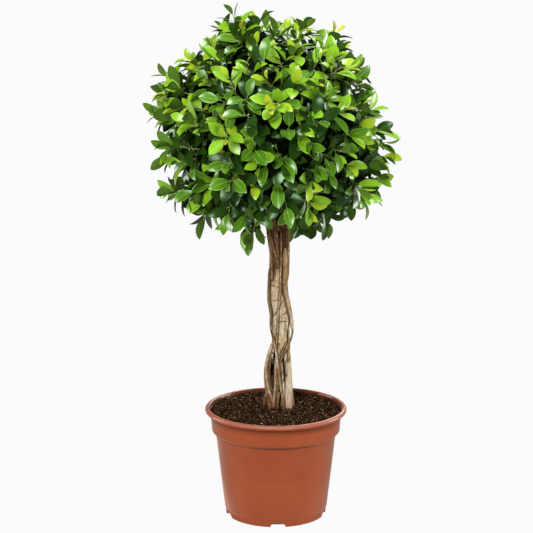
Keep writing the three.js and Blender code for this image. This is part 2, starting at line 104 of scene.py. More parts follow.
add_lamp("key_lamp", (-0.9, -2.8, 2.1), 1.5, 120)
add_lamp("top_lamp", (0.2, -0.2, 3.0), 1.0, 64)
add_lamp("front_lamp", (0.8, -2.8, 0.4), 1.3, 54, (0, 0, 0.5))
add_lamp("right_lamp", (2.5, 0.5, 0.4), 1.5, 64, (0, 0, 0.2))
add_lamp("left_lamp", (-2.5, 0.5, 0.4), 1.5, 48, (0, 0, 0.2))
add_lamp("back_lamp", (0.6, 2.6, 1.8), 1.5, 28)

# %% [markdown]
# ## Materials
# Each finish is one Principled shader. Patterns read the object's own coordinates, which here are the same
# metres as the plant, so a scale of 100 puts about one cell of a pattern in each centimetre.

# %% Helpers for materials


def rgb(code):
    """A colour written as on a web page, as the linear numbers that the shader wants."""
    parts = [int(code[i : i + 2], 16) / 255 for i in (0, 2, 4)]
    return tuple(c / 12.92 if c < 0.04045 else ((c + 0.055) / 1.055) ** 2.4 for c in parts) + (1,)


def fill(node, values):
    """Sets sockets of a node to numbers, to colours written as on a web page, or to what other nodes give."""
    for socket, value in values.items():
        if isinstance(value, bpy.types.NodeSocket):
            node.id_data.links.new(value, node.inputs[socket])
        else:
            node.inputs[socket].default_value = rgb(value) if isinstance(value, str) else value
    return node


def new_material(name, values):
    """A material, its node tree and its shader, with these values on the shader's own sockets."""
    material = bpy.data.materials.new(name)
    material.use_nodes = True
    tree = material.node_tree
    return material, tree, fill(tree.nodes["Principled BSDF"], values)


def add_node(tree, kind, output, values):
    """What a new node gives at one of its outputs, once its sockets are filled."""
    return fill(tree.nodes.new(kind), values).outputs[output]


def mapped_place(tree, values):
    """The object's coordinates, moved and scaled."""
    place = add_node(tree, "ShaderNodeTexCoord", "Object", {})
    return add_node(tree, "ShaderNodeMapping", "Vector", {"Vector": place, **values})


def noise_on(tree, scale, detail, upright=1):
    """A noise pattern on the object's coordinates. An upright below 1 makes its marks longer upwards."""
    place = mapped_place(tree, {"Scale": (1, 1, upright)})
    return add_node(tree, "ShaderNodeTexNoise", "Fac", {"Scale": scale, "Detail": detail, "Vector": place})


def ramp(tree, value, stops):
    """Colours along a value, from (place, colour) pairs."""
    node = fill(tree.nodes.new("ShaderNodeValToRGB"), {"Fac": value})
    while len(node.color_ramp.elements) < len(stops):
        node.color_ramp.elements.new(0.5)
    for element, (place, colour) in zip(node.color_ramp.elements, stops):
        element.position = place
        element.color = rgb(colour)
    return node.outputs["Color"]


def mixed(tree, share, first, second, mode="MIX"):
    """Two colours mixed by a share. The node's sockets for colours are its inputs 0, 6 and 7."""
    node = tree.nodes.new("ShaderNodeMix")
    node.data_type = "RGBA"
    node.blend_type = mode
    return fill(node, {0: share, 6: first, 7: second}).outputs[2]


def attribute_of(tree, label):
    """The number that keep_shade puts on each point of a mesh."""
    node = tree.nodes.new("ShaderNodeAttribute")
    node.attribute_name = label
    return node.outputs["Fac"]


def height_share(tree, low, high):
    """0 at one height on the plant and 1 at another, both in metres."""
    place = add_node(tree, "ShaderNodeTexCoord", "Object", {})
    height = add_node(tree, "ShaderNodeSeparateXYZ", "Z", {"Vector": place})
    values = {"From Min": low, "From Max": high, "Value": height}
    return add_node(tree, "ShaderNodeMapRange", "Result", values)


def add_bump(tree, shader, height, strength, distance):
    values = {"Strength": strength, "Distance": distance, "Height": height}
    fill(shader, {"Normal": add_node(tree, "ShaderNodeBump", "Normal", values)})


# %% [markdown]
# ## Sky and floor
# The backdrop is the sky as the camera sees it, which is white. For the plant the sky is dim, so that the
# inside of the head stays dark. The floor is white too. It adds no light of its own to the plant, but it is
# mirrored in glossy leaves and in the plastic, which makes the pot's sides paler than its front. A dark
# oval lies under the pot, where hardly any light would reach. It is seen only through the drainage notches,
# which would glow white without it.

# %% Sky and floor
# Strength of the white that the camera sees, of the sky's light, and of the floor where it is mirrored.
BACKDROP, SKY_FILL, FLOOR_FILL = 0.965, 0.015, 0.3
FLOOR_SIZE = 24
# Half width, half depth and front-to-back place of the dark oval, in metres.
SHADE_WIDTH, SHADE_DEPTH, SHADE_PLACE = 0.096, 0.086, 0.003


def backdrop_strength(tree, dim):
    """Full brightness for what the camera sees itself, and a dim one for the plant's light and gloss."""
    seen = add_node(tree, "ShaderNodeLightPath", "Is Camera Ray", {})
    return add_node(tree, "ShaderNodeMapRange", "Result", {"To Min": dim, "To Max": BACKDROP, "Value": seen})


sky = bpy.data.worlds.new("studio")
bpy.context.scene.world = sky
sky.use_nodes = True
sky_strength = backdrop_strength(sky.node_tree, SKY_FILL)
fill(sky.node_tree.nodes["Background"], {"Color": "ffffff", "Strength": sky_strength})
bpy.context.scene.view_settings.view_transform = "Standard"
bpy.ops.mesh.primitive_plane_add(size=FLOOR_SIZE, location=(0, 0, 0))
floor = bpy.context.object
floor.name = "floor"
floor.visible_diffuse = floor.visible_shadow = False

floor_material, tree, shader = new_material(
    "floor_white", {"Base Color": "000000", "Roughness": 1, "Specular IOR Level": 0}
)
oval = mapped_place(tree, {
    "Location": (0, -SHADE_PLACE / SHADE_DEPTH, 0), "Scale": (1 / SHADE_WIDTH, 1 / SHADE_DEPTH, 1),
})
from_middle = fill(tree.nodes.new("ShaderNodeVectorMath"), {0: oval})
from_middle.operation = "LENGTH"
whiteness = ramp(tree, from_middle.outputs["Value"], [(0.93, "24130c"), (1, "ffffff")])
fill(shader, {"Emission Color": whiteness, "Emission Strength": backdrop_strength(tree, FLOOR_FILL)})
floor.data.materials.append(floor_material)
print("floor", FLOOR_SIZE, "m wide")

# %% [markdown]
# ## Modelling by hand, in code
# The operators act on whatever is selected, so each step first clears the selection. A finished piece keeps
# its place in its mesh, with its object at the origin, as the solids do.

# %% Helpers for modelling


def deselect():
    if bpy.context.object and bpy.context.object.mode != "OBJECT":
        bpy.ops.object.mode_set(mode="OBJECT")
    bpy.ops.object.select_all(action="DESELECT")


def pick(*pieces):
    deselect()
    for piece in pieces:
        piece.select_set(True)
    bpy.context.view_layer.objects.active = pieces[0]
    return pieces[0]


def settle(piece, name, material, replaces=()):
    """Fixes a finished piece's place in its mesh, gives it its finish and puts it on the plant."""
    pick(piece)
    bpy.ops.object.transform_apply(location=True, rotation=True, scale=True)
    piece.name = piece.data.name = name
    piece.data.materials.clear()
    piece.data.materials.append(material)
    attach(piece, "root")
    if replaces:
        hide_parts(*replaces)
    print(name, len(piece.data.polygons), "faces")


def apply_modifier(piece, kind, **settings):
    pick(piece)
    modifier = piece.modifiers.new(kind.lower(), kind)
    for key, value in settings.items():
        setattr(modifier, key, value)
    bpy.ops.object.modifier_apply(modifier=modifier.name)


def shade_smooth(piece):
    pick(piece)
    bpy.ops.object.shade_smooth()


def read(what, prop, width, kind=np.float64):
    """One row of numbers for each point, edge or face of a mesh."""
    values = np.empty(len(what) * width, kind)
    what.foreach_get(prop, values)
    return values.reshape(-1, width)


def keep_shade(piece, label, values):
    """Keeps a number for each point of a mesh, for its material to read."""
    attribute = piece.data.attributes.new(label, "FLOAT", "POINT")
    attribute.data.foreach_set("value", np.asarray(values, np.float32))


def turned(stations, sides):
    """A ring drawn up through (radius, height) stations, as clay is on a wheel, and closed at both ends."""
    deselect()
    radius, height = stations[0]
    bpy.ops.mesh.primitive_circle_add(vertices=sides, radius=radius * MM, location=(0, 0, height * MM))
    piece = bpy.context.object
    bpy.ops.object.transform_apply(location=True, rotation=True, scale=True)
    bpy.ops.object.mode_set(mode="EDIT")
    bpy.ops.mesh.select_all(action="SELECT")
    bpy.ops.mesh.edge_face_add()
    for (r0, z0), (r1, z1) in zip(stations, stations[1:]):
        bpy.ops.mesh.extrude_region_move(TRANSFORM_OT_translate={"value": (0, 0, (z1 - z0) * MM)})
        bpy.ops.transform.resize(value=(r1 / r0, r1 / r0, 1), center_override=(0, 0, 0))
    bpy.ops.mesh.select_all(action="SELECT")
    bpy.ops.mesh.normals_make_consistent(inside=False)
    bpy.ops.object.mode_set(mode="OBJECT")
    return piece


# %% [markdown]
# ## The pot
# A nursery pot is one thin moulding. It is drawn up ring by ring: a foot, a long tapered body, a curved
# ledge, a taller collar and a rolled lip, then down again inside. The lip's curve is a half circle of
# stations, because it catches the light all the way round and a few flat faces would show.

# %% Pot profile
FOOT_RADIUS, FOOT_ROUND = 96.2, 1.2
LEDGE_MIDDLE, LEDGE_ROUND = (118.1, 166.6), 4.4
LIP_MIDDLE, LIP_ROUND = (130.6, 204.4), 4.6
POT_SIDES = 144


def arc(middle, radius, start, end, steps):
    """Stations along part of a circle in the profile, with angles in degrees from straight out."""
    turns = [math.radians(start + (end - start) * i / steps) for i in range(steps + 1)]
    return [(middle[0] + radius * math.cos(t), middle[1] + radius * math.sin(t)) for t in turns]


# Each station is a radius and a height in millimetres, from the underside's middle out, up and back inside.
plateau = [(40, 0), (49.5, 0), (50, 0.5), (51.5, 5.4)]
foot_ring = [(92, 5.4), (92.4, 0.6), (93, 0)]
foot_ring += arc((FOOT_RADIUS - FOOT_ROUND, FOOT_ROUND), FOOT_ROUND, -80, 0, 3)
body = [(96.9, 12.4), (97.6, 13.2), (98.4, 14.2), (106.6, 86), (114.7, 158), (115.3, 159.6), (116.8, 161.2)]
ledge = arc(LEDGE_MIDDLE, LEDGE_ROUND, -72, 0, 5)
collar = [(123.6, 184), (124.9, 199), (125.8, 200)]
lip = arc(LIP_MIDDLE, LIP_ROUND, -105, 90, 10) + [(128.2, 209), (126.9, 208.4), (126.2, 207)]
inside = [(125, 200), (120.7, 168), (112.4, 157), (93.8, 12.4), (93, 11.4)]
floor_inside = [(49, 11.4), (47.5, 2.4), (40, 2.4)]
pot = turned(plateau + foot_ring + body + ledge + collar + lip + inside + floor_inside, POT_SIDES)

# %% [markdown]
# Water drains into a hollow channel underneath, through five holes, and out through five notches in the
# foot ring. The notches and holes are cut out with blocks and pins. The sharp edges that this leaves are
# then bevelled.

# %% Drainage notches and holes
NOTCH_COUNT, FRONT_NOTCH_TURN = 5, math.radians(2.5)
NOTCH_FOOT_WIDTH, NOTCH_TOP_WIDTH, NOTCH_HEIGHT, NOTCH_DEPTH = 31, 22, 8, 11
NOTCH_OVERCUT = 2  # how far a block reaches below the ground
DRAIN_RING, DRAIN_RADIUS = 80, 4.5
PIN_LENGTH, PIN_LEVEL = 8, 10
EDGE_BEVEL, SHARP_EDGE, CREASE_ANGLE = 0.35, math.radians(50), math.radians(35)


def notch_block(turn):
    """A block across the foot ring, narrower at its top, that lies along a radius of the pot."""
    deselect()
    middle = (0, -FOOT_RADIUS * MM, (NOTCH_HEIGHT - NOTCH_OVERCUT) / 2 * MM)
    bpy.ops.mesh.primitive_cube_add(size=1, location=middle)
    block = bpy.context.object
    block.scale = (NOTCH_FOOT_WIDTH * MM, NOTCH_DEPTH * MM, (NOTCH_HEIGHT + NOTCH_OVERCUT) * MM)
    bpy.ops.object.transform_apply(location=True, rotation=True, scale=True)
    for vertex in block.data.vertices:
        if vertex.co.z > NOTCH_HEIGHT / 2 * MM:
            vertex.co.x *= NOTCH_TOP_WIDTH / NOTCH_FOOT_WIDTH
    block.rotation_euler.z = turn
    bpy.ops.object.transform_apply(location=False, rotation=True, scale=False)
    return block


def drain_pin(turn):
    deselect()
    middle = (heading(turn, 0) * DRAIN_RING + UP * PIN_LEVEL) * MM
    bpy.ops.mesh.primitive_cylinder_add(
        vertices=20, radius=DRAIN_RADIUS * MM, depth=PIN_LENGTH * MM, location=middle
    )
    return bpy.context.object


def cut_out(piece, tools):
    """Joins the tools into one and cuts it out of the piece."""
    cutter = pick(*tools)
    bpy.ops.object.join()
    apply_modifier(piece, "BOOLEAN", operation="DIFFERENCE", object=cutter, solver="EXACT")
    bpy.data.objects.remove(cutter)


notch_turns = [FRONT_NOTCH_TURN + 2 * math.pi * i / NOTCH_COUNT for i in range(NOTCH_COUNT)]
cut_out(pot, [notch_block(turn) for turn in notch_turns])
cut_out(pot, [drain_pin(turn) for turn in notch_turns])
apply_modifier(pot, "BEVEL", width=EDGE_BEVEL * MM, segments=2, limit_method="ANGLE", angle_limit=SHARP_EDGE)
pick(pot)
bpy.ops.object.shade_smooth_by_angle(angle=CREASE_ANGLE)
print("pot", len(pot.data.vertices), "points")

# %% [markdown]
# The plastic is a warm terracotta brown with a satin skin that looks pale at a low angle, which the shader
# calls sheen. Faint mottling and pale specks break up its colour, and a light bump gives the fine grain of
# the moulding. The lip is painted paler, a painted highlight for the light that it would catch from above.
# The foot is darkened as painted shade, and the body is painted lighter near its foot, for light from the
# floor, and a little darker upwards. The wall inside the lip is darkened, partly as a soil stain and partly
# as painted shade, and the creases under the lip and the ledge are darkened as painted shade. This darkening
# has a place, so it is worked out for each point of the mesh from its radius and height.

# %% Pot plastic
plastic, tree, shader = new_material("terracotta_plastic", {
    "Base Color": "a0502f", "Roughness": 0.46, "Specular IOR Level": 0.2,
    "Sheen Weight": 0.6, "Sheen Roughness": 0.35, "Sheen Tint": "ecb29a",
})
mottle = noise_on(tree, 22, 5, 0.6)
tone = ramp(tree, mottle, [(0.3, "9c4c2d"), (0.55, "a04f2f"), (0.75, "a45332")])
speckle = ramp(tree, noise_on(tree, 1100, 2), [(0.4, "000000"), (0.7, "404040")])
tone = mixed(tree, speckle, tone, "c4765a")
# The lip is painted paler: a painted highlight for the light it would catch from above.
painted_lip_highlight = ramp(tree, height_share(tree, 0.203, 0.2065), [(0, "000000"), (1, "a0a0a0")])
tone = mixed(tree, painted_lip_highlight, tone, "c08a76")
# Painted shade on the foot, and painted light from the floor on the body near its foot, fading upwards.
painted_floor_light_and_foot_shade = ramp(tree, height_share(tree, 0, 0.12), [(0.103, "e4e4e4"), (0.108, "ffffff"), (0.8, "e6e6e6")])
tone = mixed(tree, 1, tone, painted_floor_light_and_foot_shade, "MULTIPLY")
# Darker inside the lip, partly a soil stain and partly painted shade, and in the creases under the lip and
# the ledge, painted shade.
tone = mixed(tree, attribute_of(tree, "stain_and_painted_shade"), tone, "5a2716")
fill(shader, {"Base Color": tone, "Roughness": ramp(tree, mottle, [(0.2, "626262"), (0.8, "7c7c7c")])})
add_bump(tree, shader, noise_on(tree, 1500, 2), 0.1, 0.0003)

# %% Soil stain and painted shade inside the lip and in the pot's creases
LIP_FOOT, LIP_CREASE_TOP, COLLAR_RADIUS, LIP_INNER_RADIUS = 199, 201, 124.5, 127.2
LEDGE_CREASE_FOOT, LEDGE_CREASE_TOP, BODY_TOP_RADIUS = 159, 162, 115
pot_points = read(pot.data.vertices, "co", 3) / MM
radius, height = np.hypot(pot_points[:, 0], pot_points[:, 1]), pot_points[:, 2]
under_lip = (radius > COLLAR_RADIUS) & (height < LIP_CREASE_TOP)
stain_and_painted_shade = (height > LIP_FOOT) * np.where(under_lip, 0.8, (radius < LIP_INNER_RADIUS) * 0.85)
under_ledge = (height > LEDGE_CREASE_FOOT) & (height < LEDGE_CREASE_TOP) & (radius > BODY_TOP_RADIUS)
keep_shade(pot, "stain_and_painted_shade", np.maximum(stain_and_painted_shade, under_ledge * 0.75))
settle(pot, "pot_shell", plastic, ["pot"])

# %% [markdown]
# ## Soil
# The soil is a turned block that fills the pot. The fine rings of its top are pushed up and down by noise.
# Crumbs, pale chips and brown fibres lie on it, thousands of them, so each kind is written straight into
# one mesh.

# %% Soil bed
SOIL_LEVEL, SOIL_EDGE, SOIL_SIDES = 205, 125.1, 200
TOP_RINGS, RING_STEP = 69, 1.8
TRUNK_FOOT = Vector((8, 13, 0))
DOME, MOUND, MOUND_REACH = 2.6, 3, 42
LUMPS = [(3, 24), (4, 9), (4, 3.4)]  # height and width of each size of lump
CALM_EDGE, CALM_WIDTH = 125, 12  # the strip along the wall where the lumps get low
top_rings = [(SOIL_EDGE - 1.2 - i * RING_STEP, SOIL_LEVEL - 2) for i in range(TOP_RINGS)]
soil_side = [(40, 2.8), (47, 2.8), (48.6, 11.8), (93.2, 11.8), (112, 156.8), (120.3, 168), (SOIL_EDGE, 201.6)]
soil = turned(soil_side + [ring for ring in top_rings if ring[0] > 1], SOIL_SIDES)


def soil_height(x, y):
    """The soil's level above the pot's foot at a place, in millimetres."""
    place = Vector((x, y, 0))
    far = place.length
    dome = DOME * (1 - (far / SOIL_EDGE) ** 2)
    mound = MOUND * math.exp(-(((place - TRUNK_FOOT).length / MOUND_REACH) ** 2))
    lumps = sum(lump * noise.noise(place / width) for lump, width in LUMPS)
    roughness = 1 if far < CALM_EDGE - CALM_WIDTH else max(0.25, (CALM_EDGE - far) / CALM_WIDTH)
    return SOIL_LEVEL - DOME + dome + mound + lumps * roughness


for vertex in soil.data.vertices:
    if vertex.co.z > (SOIL_LEVEL - 3) * MM:
        vertex.co.z = soil_height(vertex.co.x / MM, vertex.co.y / MM) * MM
shade_smooth(soil)

# %% Crumbs, chips and fibres on the soil
SCATTER_REACH, SCATTER_EDGE = 123.5, 124  # how far out the middle of a lump may lie, and its outer side


def mesh_piece(name, vertices, faces):
    mesh = bpy.data.meshes.new(name)
    mesh.from_pydata(vertices, [], faces)
    mesh.update()
    piece = bpy.data.objects.new(name, mesh)
    bpy.context.collection.objects.link(piece)
    return piece


def unit_lump():
    """The corners and faces of a rough ball, for copying many times."""
    deselect()
    bpy.ops.mesh.primitive_ico_sphere_add(subdivisions=1, radius=1)
    ball = bpy.context.object
    corners = [vertex.co.copy() for vertex in ball.data.vertices]
    faces = [tuple(face.vertices) for face in ball.data.polygons]
    bpy.data.objects.remove(ball)
    return corners, faces


def scatter_on_soil(name, count, sizes, shape, seed):
    """Lumps of the given sizes in millimetres, each turned, squashed and partly sunk in the soil."""
    draw = random.Random(seed)
    corners, lump_faces = unit_lump()
    vertices, faces = [], []
    while count:
        turn, far = draw.uniform(0, 2 * math.pi), SCATTER_REACH * math.sqrt(draw.random())
        x, y = far * math.cos(turn), far * math.sin(turn)
        size = between(draw.random() ** 2, sizes)
        if far + size > SCATTER_EDGE:
            continue
        tilt = Quaternion([draw.gauss(0, 1) for _ in range(4)]).normalized()
        place = Vector((x, y, soil_height(x, y) + size * 0.25))
        first = len(vertices)
        for corner in corners:
            scaled = Vector((corner.x * shape[0], corner.y * shape[1], corner.z * shape[2])) * size
            jitter = 0.8 + 0.4 * draw.random()
            vertices.append((place + tilt @ (scaled * jitter)) * MM)
        faces += [tuple(first + i for i in face) for face in lump_faces]
        count -= 1
    return mesh_piece(name, vertices, faces)


# %% [markdown]
# Damp potting soil is dark and dull, with paler dry crumbs, wood chips and fibres in it. The bed under them
# is nearly black, partly the damp soil's own colour and partly painted shade in the gaps between the crumbs.
# A noise deals out three tones, so that no two grains are alike, and a strong fine bump makes them rough.

# %% Soil finishes
# Each kind of bit: name, how many, sizes, shape, seed, and its finish with the grain and three tones.
SOIL_BITS = [
    ("crumbs", 5600, (0.7, 3.6), (1, 1, 0.8), 3, ("soil_crumb", 150, "0e0804", "2f1e10", "62462e")),
    ("pale_crumbs", 1300, (0.5, 1.9), (1, 0.8, 0.6), 6, ("dry_crumb", 150, "563d28", "785b41", "a48562")),
    ("chips", 640, (0.45, 1.4), (1, 0.7, 0.5), 4, ("pale_chip", 150, "a8998a", "d2c9bd", "f4efe8")),
    ("fibres", 520, (1.4, 4.4), (1, 0.24, 0.18), 5, ("brown_fibre", 100, "6a3f24", "8d6743", "b99a6c")),
]


def earth_material(name, scale, dark, middle, light):
    """A dull, grainy finish whose three tones a noise of the given scale deals out."""
    plain = {"Base Color": middle, "Roughness": 0.95, "Specular IOR Level": 0.05}
    material, tree, shader = new_material(name, plain)
    tone = ramp(tree, noise_on(tree, scale, 6), [(0.32, dark), (0.5, middle), (0.7, light)])
    fill(shader, {"Base Color": tone})
    add_bump(tree, shader, noise_on(tree, 1200, 3), 0.7, 0.0008)
    return material


# The bed is nearly black: damp soil, and painted shade between the crumbs.
damp_soil_and_painted_shade = earth_material("damp_soil_and_painted_shade", 240, "070301", "140c05", "2c1d10")
settle(soil, "soil_bed", damp_soil_and_painted_shade, ["soil"])
for kind, count, sizes, shape, seed, finish in SOIL_BITS:
    bits = scatter_on_soil(kind, count, sizes, shape, seed)
    settle(bits, f"soil_{kind}", earth_material(*finish))

# %% [markdown]
# ## The stem and its roots
# This kind of fig is sold with several thin stems and hanging roots grown together round one main stem.
# Each is drawn as a curve that runs up the main stem's surface. The sizes and turns are those that the
# solid trunk was made from.

# %% Sizes of the stem
GROUND, TRUNK_TOP = -12, 600
# Height above the soil, how far the stem's middle lies to the right and to the back, and its radius.
STEM_STATIONS = [
    (GROUND, 7, 13, 19), (58, 10, 11, 15.5), (125, 10, 9, 15), (170, 10, 7, 17.5),
    (220, 4, 5, 17.5), (295, 4, 2, 15), (TRUNK_TOP - SOIL_LEVEL, 1, 0, 15.5),
]
# From and to above the soil, turns from the front towards the right, swing and bulge half way, and radii.
# The solid trunk has one more, which winds over the front: it is drawn here as a front root, so that its
# edges stay crisp.
STRANDS = [
    (GROUND, 135, (-22, -62), -28, 15, (7.5, 6)),
    (GROUND, 147, (-32, -14), 0, 4, (7, 5)),
    (GROUND, 117, (18, -12), 4, 4, (4, 3.2)),
    (GROUND, 145, (-112, -95), 0, 7, (8, 6)),
    (GROUND, 130, (82, 100), 0, 0, (10, 4.5)),
    (GROUND, 210, (-158, -130), 12, 1, (9, 6.5)),
    (GROUND, 265, (145, 205), 20, 2, (8.5, 5)),
    (232, 352, (14, 10), 0, 2, (3.4, 3.4)),
    (116, 288, (-18, -66), -48, 2, (4.4, 4)),
    (258, 385, (-12, -72), 0, 3, (7, 9)),
    (246, 388, (-2, -30), 0, 2, (5.5, 7.5)),
    (228, 386, (62, 84), 0, 2, (7, 9)),
    (178, 388, (178, 142), 0, 2, (7, 9)),
]
# What only the finished bark carries: a broad foot on the right, and then finer roots.
FINE_STRANDS = [
    (GROUND, 128, (44, 58), 0, 0, (11, 8)),
    (300, 392, (36, 58), 0, 2.6, (3, 4)),
    (120, 300, (110, 150), 12, 2, (2.6, 2.2)),
    (60, 250, (-140, -170), 10, 2.4, (3, 2.4)),
    (190, 350, (-100, -70), 0, 2, (2.4, 2)),
    (GROUND, 160, (170, 190), 14, 3, (3, 2.2)),
]
STRAND_STEPS = 14
STRAND_SEAT = 2  # how far a strand's middle lies inside the stem's surface
STRAND_RUN_IN = 0.2  # share of a strand over which an end above the ground sinks into the stem
FLARE_REACH, FLARE_FADE = 7, 22  # how far roots spread at the ground, and how that fades


def smoothstep(value, low, high):
    share = min(1, max(0, (value - low) / (high - low)))
    return share * share * (3 - 2 * share)


def stem_at(height):
    """The stem's middle and its radius, at a height above the soil."""
    for low, high in zip(STEM_STATIONS, STEM_STATIONS[1:]):
        if height <= high[0]:
            break
    share = smoothstep(height, low[0], high[0])
    right, back, radius = [between(share, ends) for ends in zip(low[1:], high[1:])]
    return Vector((right, back, SOIL_LEVEL + height)), radius


def strand_path(start, end, turns, swing, bulge, radii):
    """Points and radii along a strand, in millimetres."""
    path = []
    for i in range(STRAND_STEPS + 1):
        share = i / STRAND_STEPS
        height = start + (end - start) * share
        stem_middle, radius = stem_at(height)
        halfway = math.sin(math.pi * share)
        risen = min(1, (1 - share) / STRAND_RUN_IN, 1 if start == GROUND else share / STRAND_RUN_IN)
        thick = between(share, radii)
        away = radius - STRAND_SEAT + bulge * halfway - (1 - risen) * (STRAND_SEAT + thick)
        if start == GROUND:
            away += FLARE_REACH * math.exp(-(height - GROUND) / FLARE_FADE)
        turn = math.radians(between(share, turns) + swing * halfway)
        path.append((stem_middle + heading(turn, 0) * away, thick))
    return path


# %% [markdown]
# ## Boughs
# Ten boughs leave the top of the stem in two rings and one goes straight up. Each heads for the middle of
# its own share of the head. The small changes of direction come from one seeded row of numbers, drawn in
# the same order as in the solids, so that the limbs lie in the same places.

# %% The seeded numbers


def numbers_from(seed):
    """The repeatable row of numbers from 0 to 1 that the solids were grown with."""
    state = seed
    while True:
        state = (state + 0x6D2B79F5) & 0xFFFFFFFF
        t = ((state ^ (state >> 15)) * (1 | state)) & 0xFFFFFFFF
        t = ((t + ((t ^ (t >> 7)) * (61 | t) & 0xFFFFFFFF)) & 0xFFFFFFFF) ^ t
        yield ((t ^ (t >> 14)) & 0xFFFFFFFF) / 2**32


SOLIDS_SEED = 20
row = numbers_from(SOLIDS_SEED)


def from_row(low, high):
    return between(next(row), (low, high))


# %% Where the boughs go
CROWN_CENTRE, CROWN_SQUASH = Vector((-6, 0, 740)), 0.94
# How far from the head's middle a share's own middle lies, how far from that its bough ends, how far from the
# stem's middle it forks, and the radius that its inner end tapers to.
MASS_DISTANCE, BOUGH_END, FORK_REACH, BOUGH_TIP = 132, 64, 11, 3
BOUGH_KNEE = 0.4  # share of the way along at which a bough bends
RUN_ON_BEND = 12  # how far past its end a bough keeps its direction
# Name, elevation, first turn, level of the forks, radius there, and how far the knee is pushed out.
RINGS = [("lower", -29, 14, 556, 7.5, 10), ("upper", 24, 50, 580, 7, 16)]
BOUGHS_IN_RING = 5


def crown_point(direction, distance):
    return CROWN_CENTRE + Vector((direction.x, direction.y, direction.z * CROWN_SQUASH)) * distance


def crown_depth(point):
    """How far a point is from the head's middle, with the head's flattening taken out."""
    offset = point - CROWN_CENTRE
    return Vector((offset.x, offset.y, offset.z / CROWN_SQUASH)).length


def bezier(start, knee, end, steps):
    shares = [i / steps for i in range(steps + 1)]
    return [start * (1 - t) ** 2 + knee * 2 * t * (1 - t) + end * t * t for t in shares]


class Site:
    """One share of the head: its middle, the bough that carries it, and the bough's run on to the middle."""

    def __init__(self, name, middle, fork, radius, spread):
        self.name, self.middle, self.radius = name, middle, radius
        end = middle + (fork - middle).normalized() * BOUGH_END
        knee = fork.lerp(end, BOUGH_KNEE) + spread
        self.bough = bezier(fork, knee, end, 14)
        into = (self.bough[-1] - self.bough[-2]).normalized()
        self.run_on = bezier(end, end + into * RUN_ON_BEND, middle, 5)


sites = []
for ring, rise, first_turn, fork_level, radius, spread in RINGS:
    for i in range(BOUGHS_IN_RING):
        turn = math.radians(first_turn + 360 / BOUGHS_IN_RING * i + from_row(-5, 5))
        direction = heading(turn, math.radians(rise + from_row(-3, 3)))
        outward = heading(turn, 0)
        fork = stem_at(fork_level - SOIL_LEVEL)[0] + outward * FORK_REACH
        middle = crown_point(direction, MASS_DISTANCE)
        sites.append(Site(f"{ring}_{i + 1}", middle, fork, radius, outward * spread))
top_fork = Vector((stem_at(TRUNK_TOP - SOIL_LEVEL - 1)[0].x, 0, TRUNK_TOP - 12))
sites.append(Site("top", crown_point(UP, MASS_DISTANCE), top_fork, 7, Vector()))
BOUGH_NODES = [f"bough_{site.name}" for site in sites]
FOLIAGE_NODES = [f"foliage_{site.name}" for site in sites]
print(len(sites), "boughs")

# %% [markdown]
# ## Bark
# The curves become tubes, and a voxel remesh melts the tubes into one skin, as grafted wood does. Its grid
# is as fine as a mesh of fewer than 200,000 triangles allows.

# %% Tubes melted into one skin
BARK_VOXEL, STEM_STEPS = 1.38, 40


def tube(path, sides=10):
    """A closed tube through (point, radius) pairs in millimetres."""
    deselect()
    curve = bpy.data.curves.new("tube", "CURVE")
    curve.dimensions = "3D"
    curve.bevel_depth = 1
    curve.bevel_resolution = sides // 2 - 1
    curve.use_fill_caps = True
    spline = curve.splines.new("POLY")
    spline.points.add(len(path) - 1)
    for point, (place, radius) in zip(spline.points, path):
        point.co = (*(place * MM), 1)
        point.radius = radius * MM
    piece = bpy.data.objects.new("tube", curve)
    bpy.context.collection.objects.link(piece)
    pick(piece)
    bpy.ops.object.convert(target="MESH")
    return bpy.context.object


def tapered(line, thick, thin):
    """The points of a line, each with its radius."""
    return [(place, between(i / (len(line) - 1), (thick, thin))) for i, place in enumerate(line)]


stem_span = (GROUND, TRUNK_TOP - SOIL_LEVEL)
stem_path = [stem_at(between(i / STEM_STEPS, stem_span)) for i in range(STEM_STEPS + 1)]
limbs = [tube(stem_path, 24)]
limbs += [tube(strand_path(*strand)) for strand in STRANDS + FINE_STRANDS]
for site in sites:
    limbs.append(tube(tapered(site.bough + site.run_on[1:], site.radius, BOUGH_TIP)))
bark = pick(*limbs)
bpy.ops.object.join()
apply_modifier(bark, "REMESH", mode="VOXEL", voxel_size=BARK_VOXEL * MM)
print("bark skin", len(bark.data.vertices), "points")
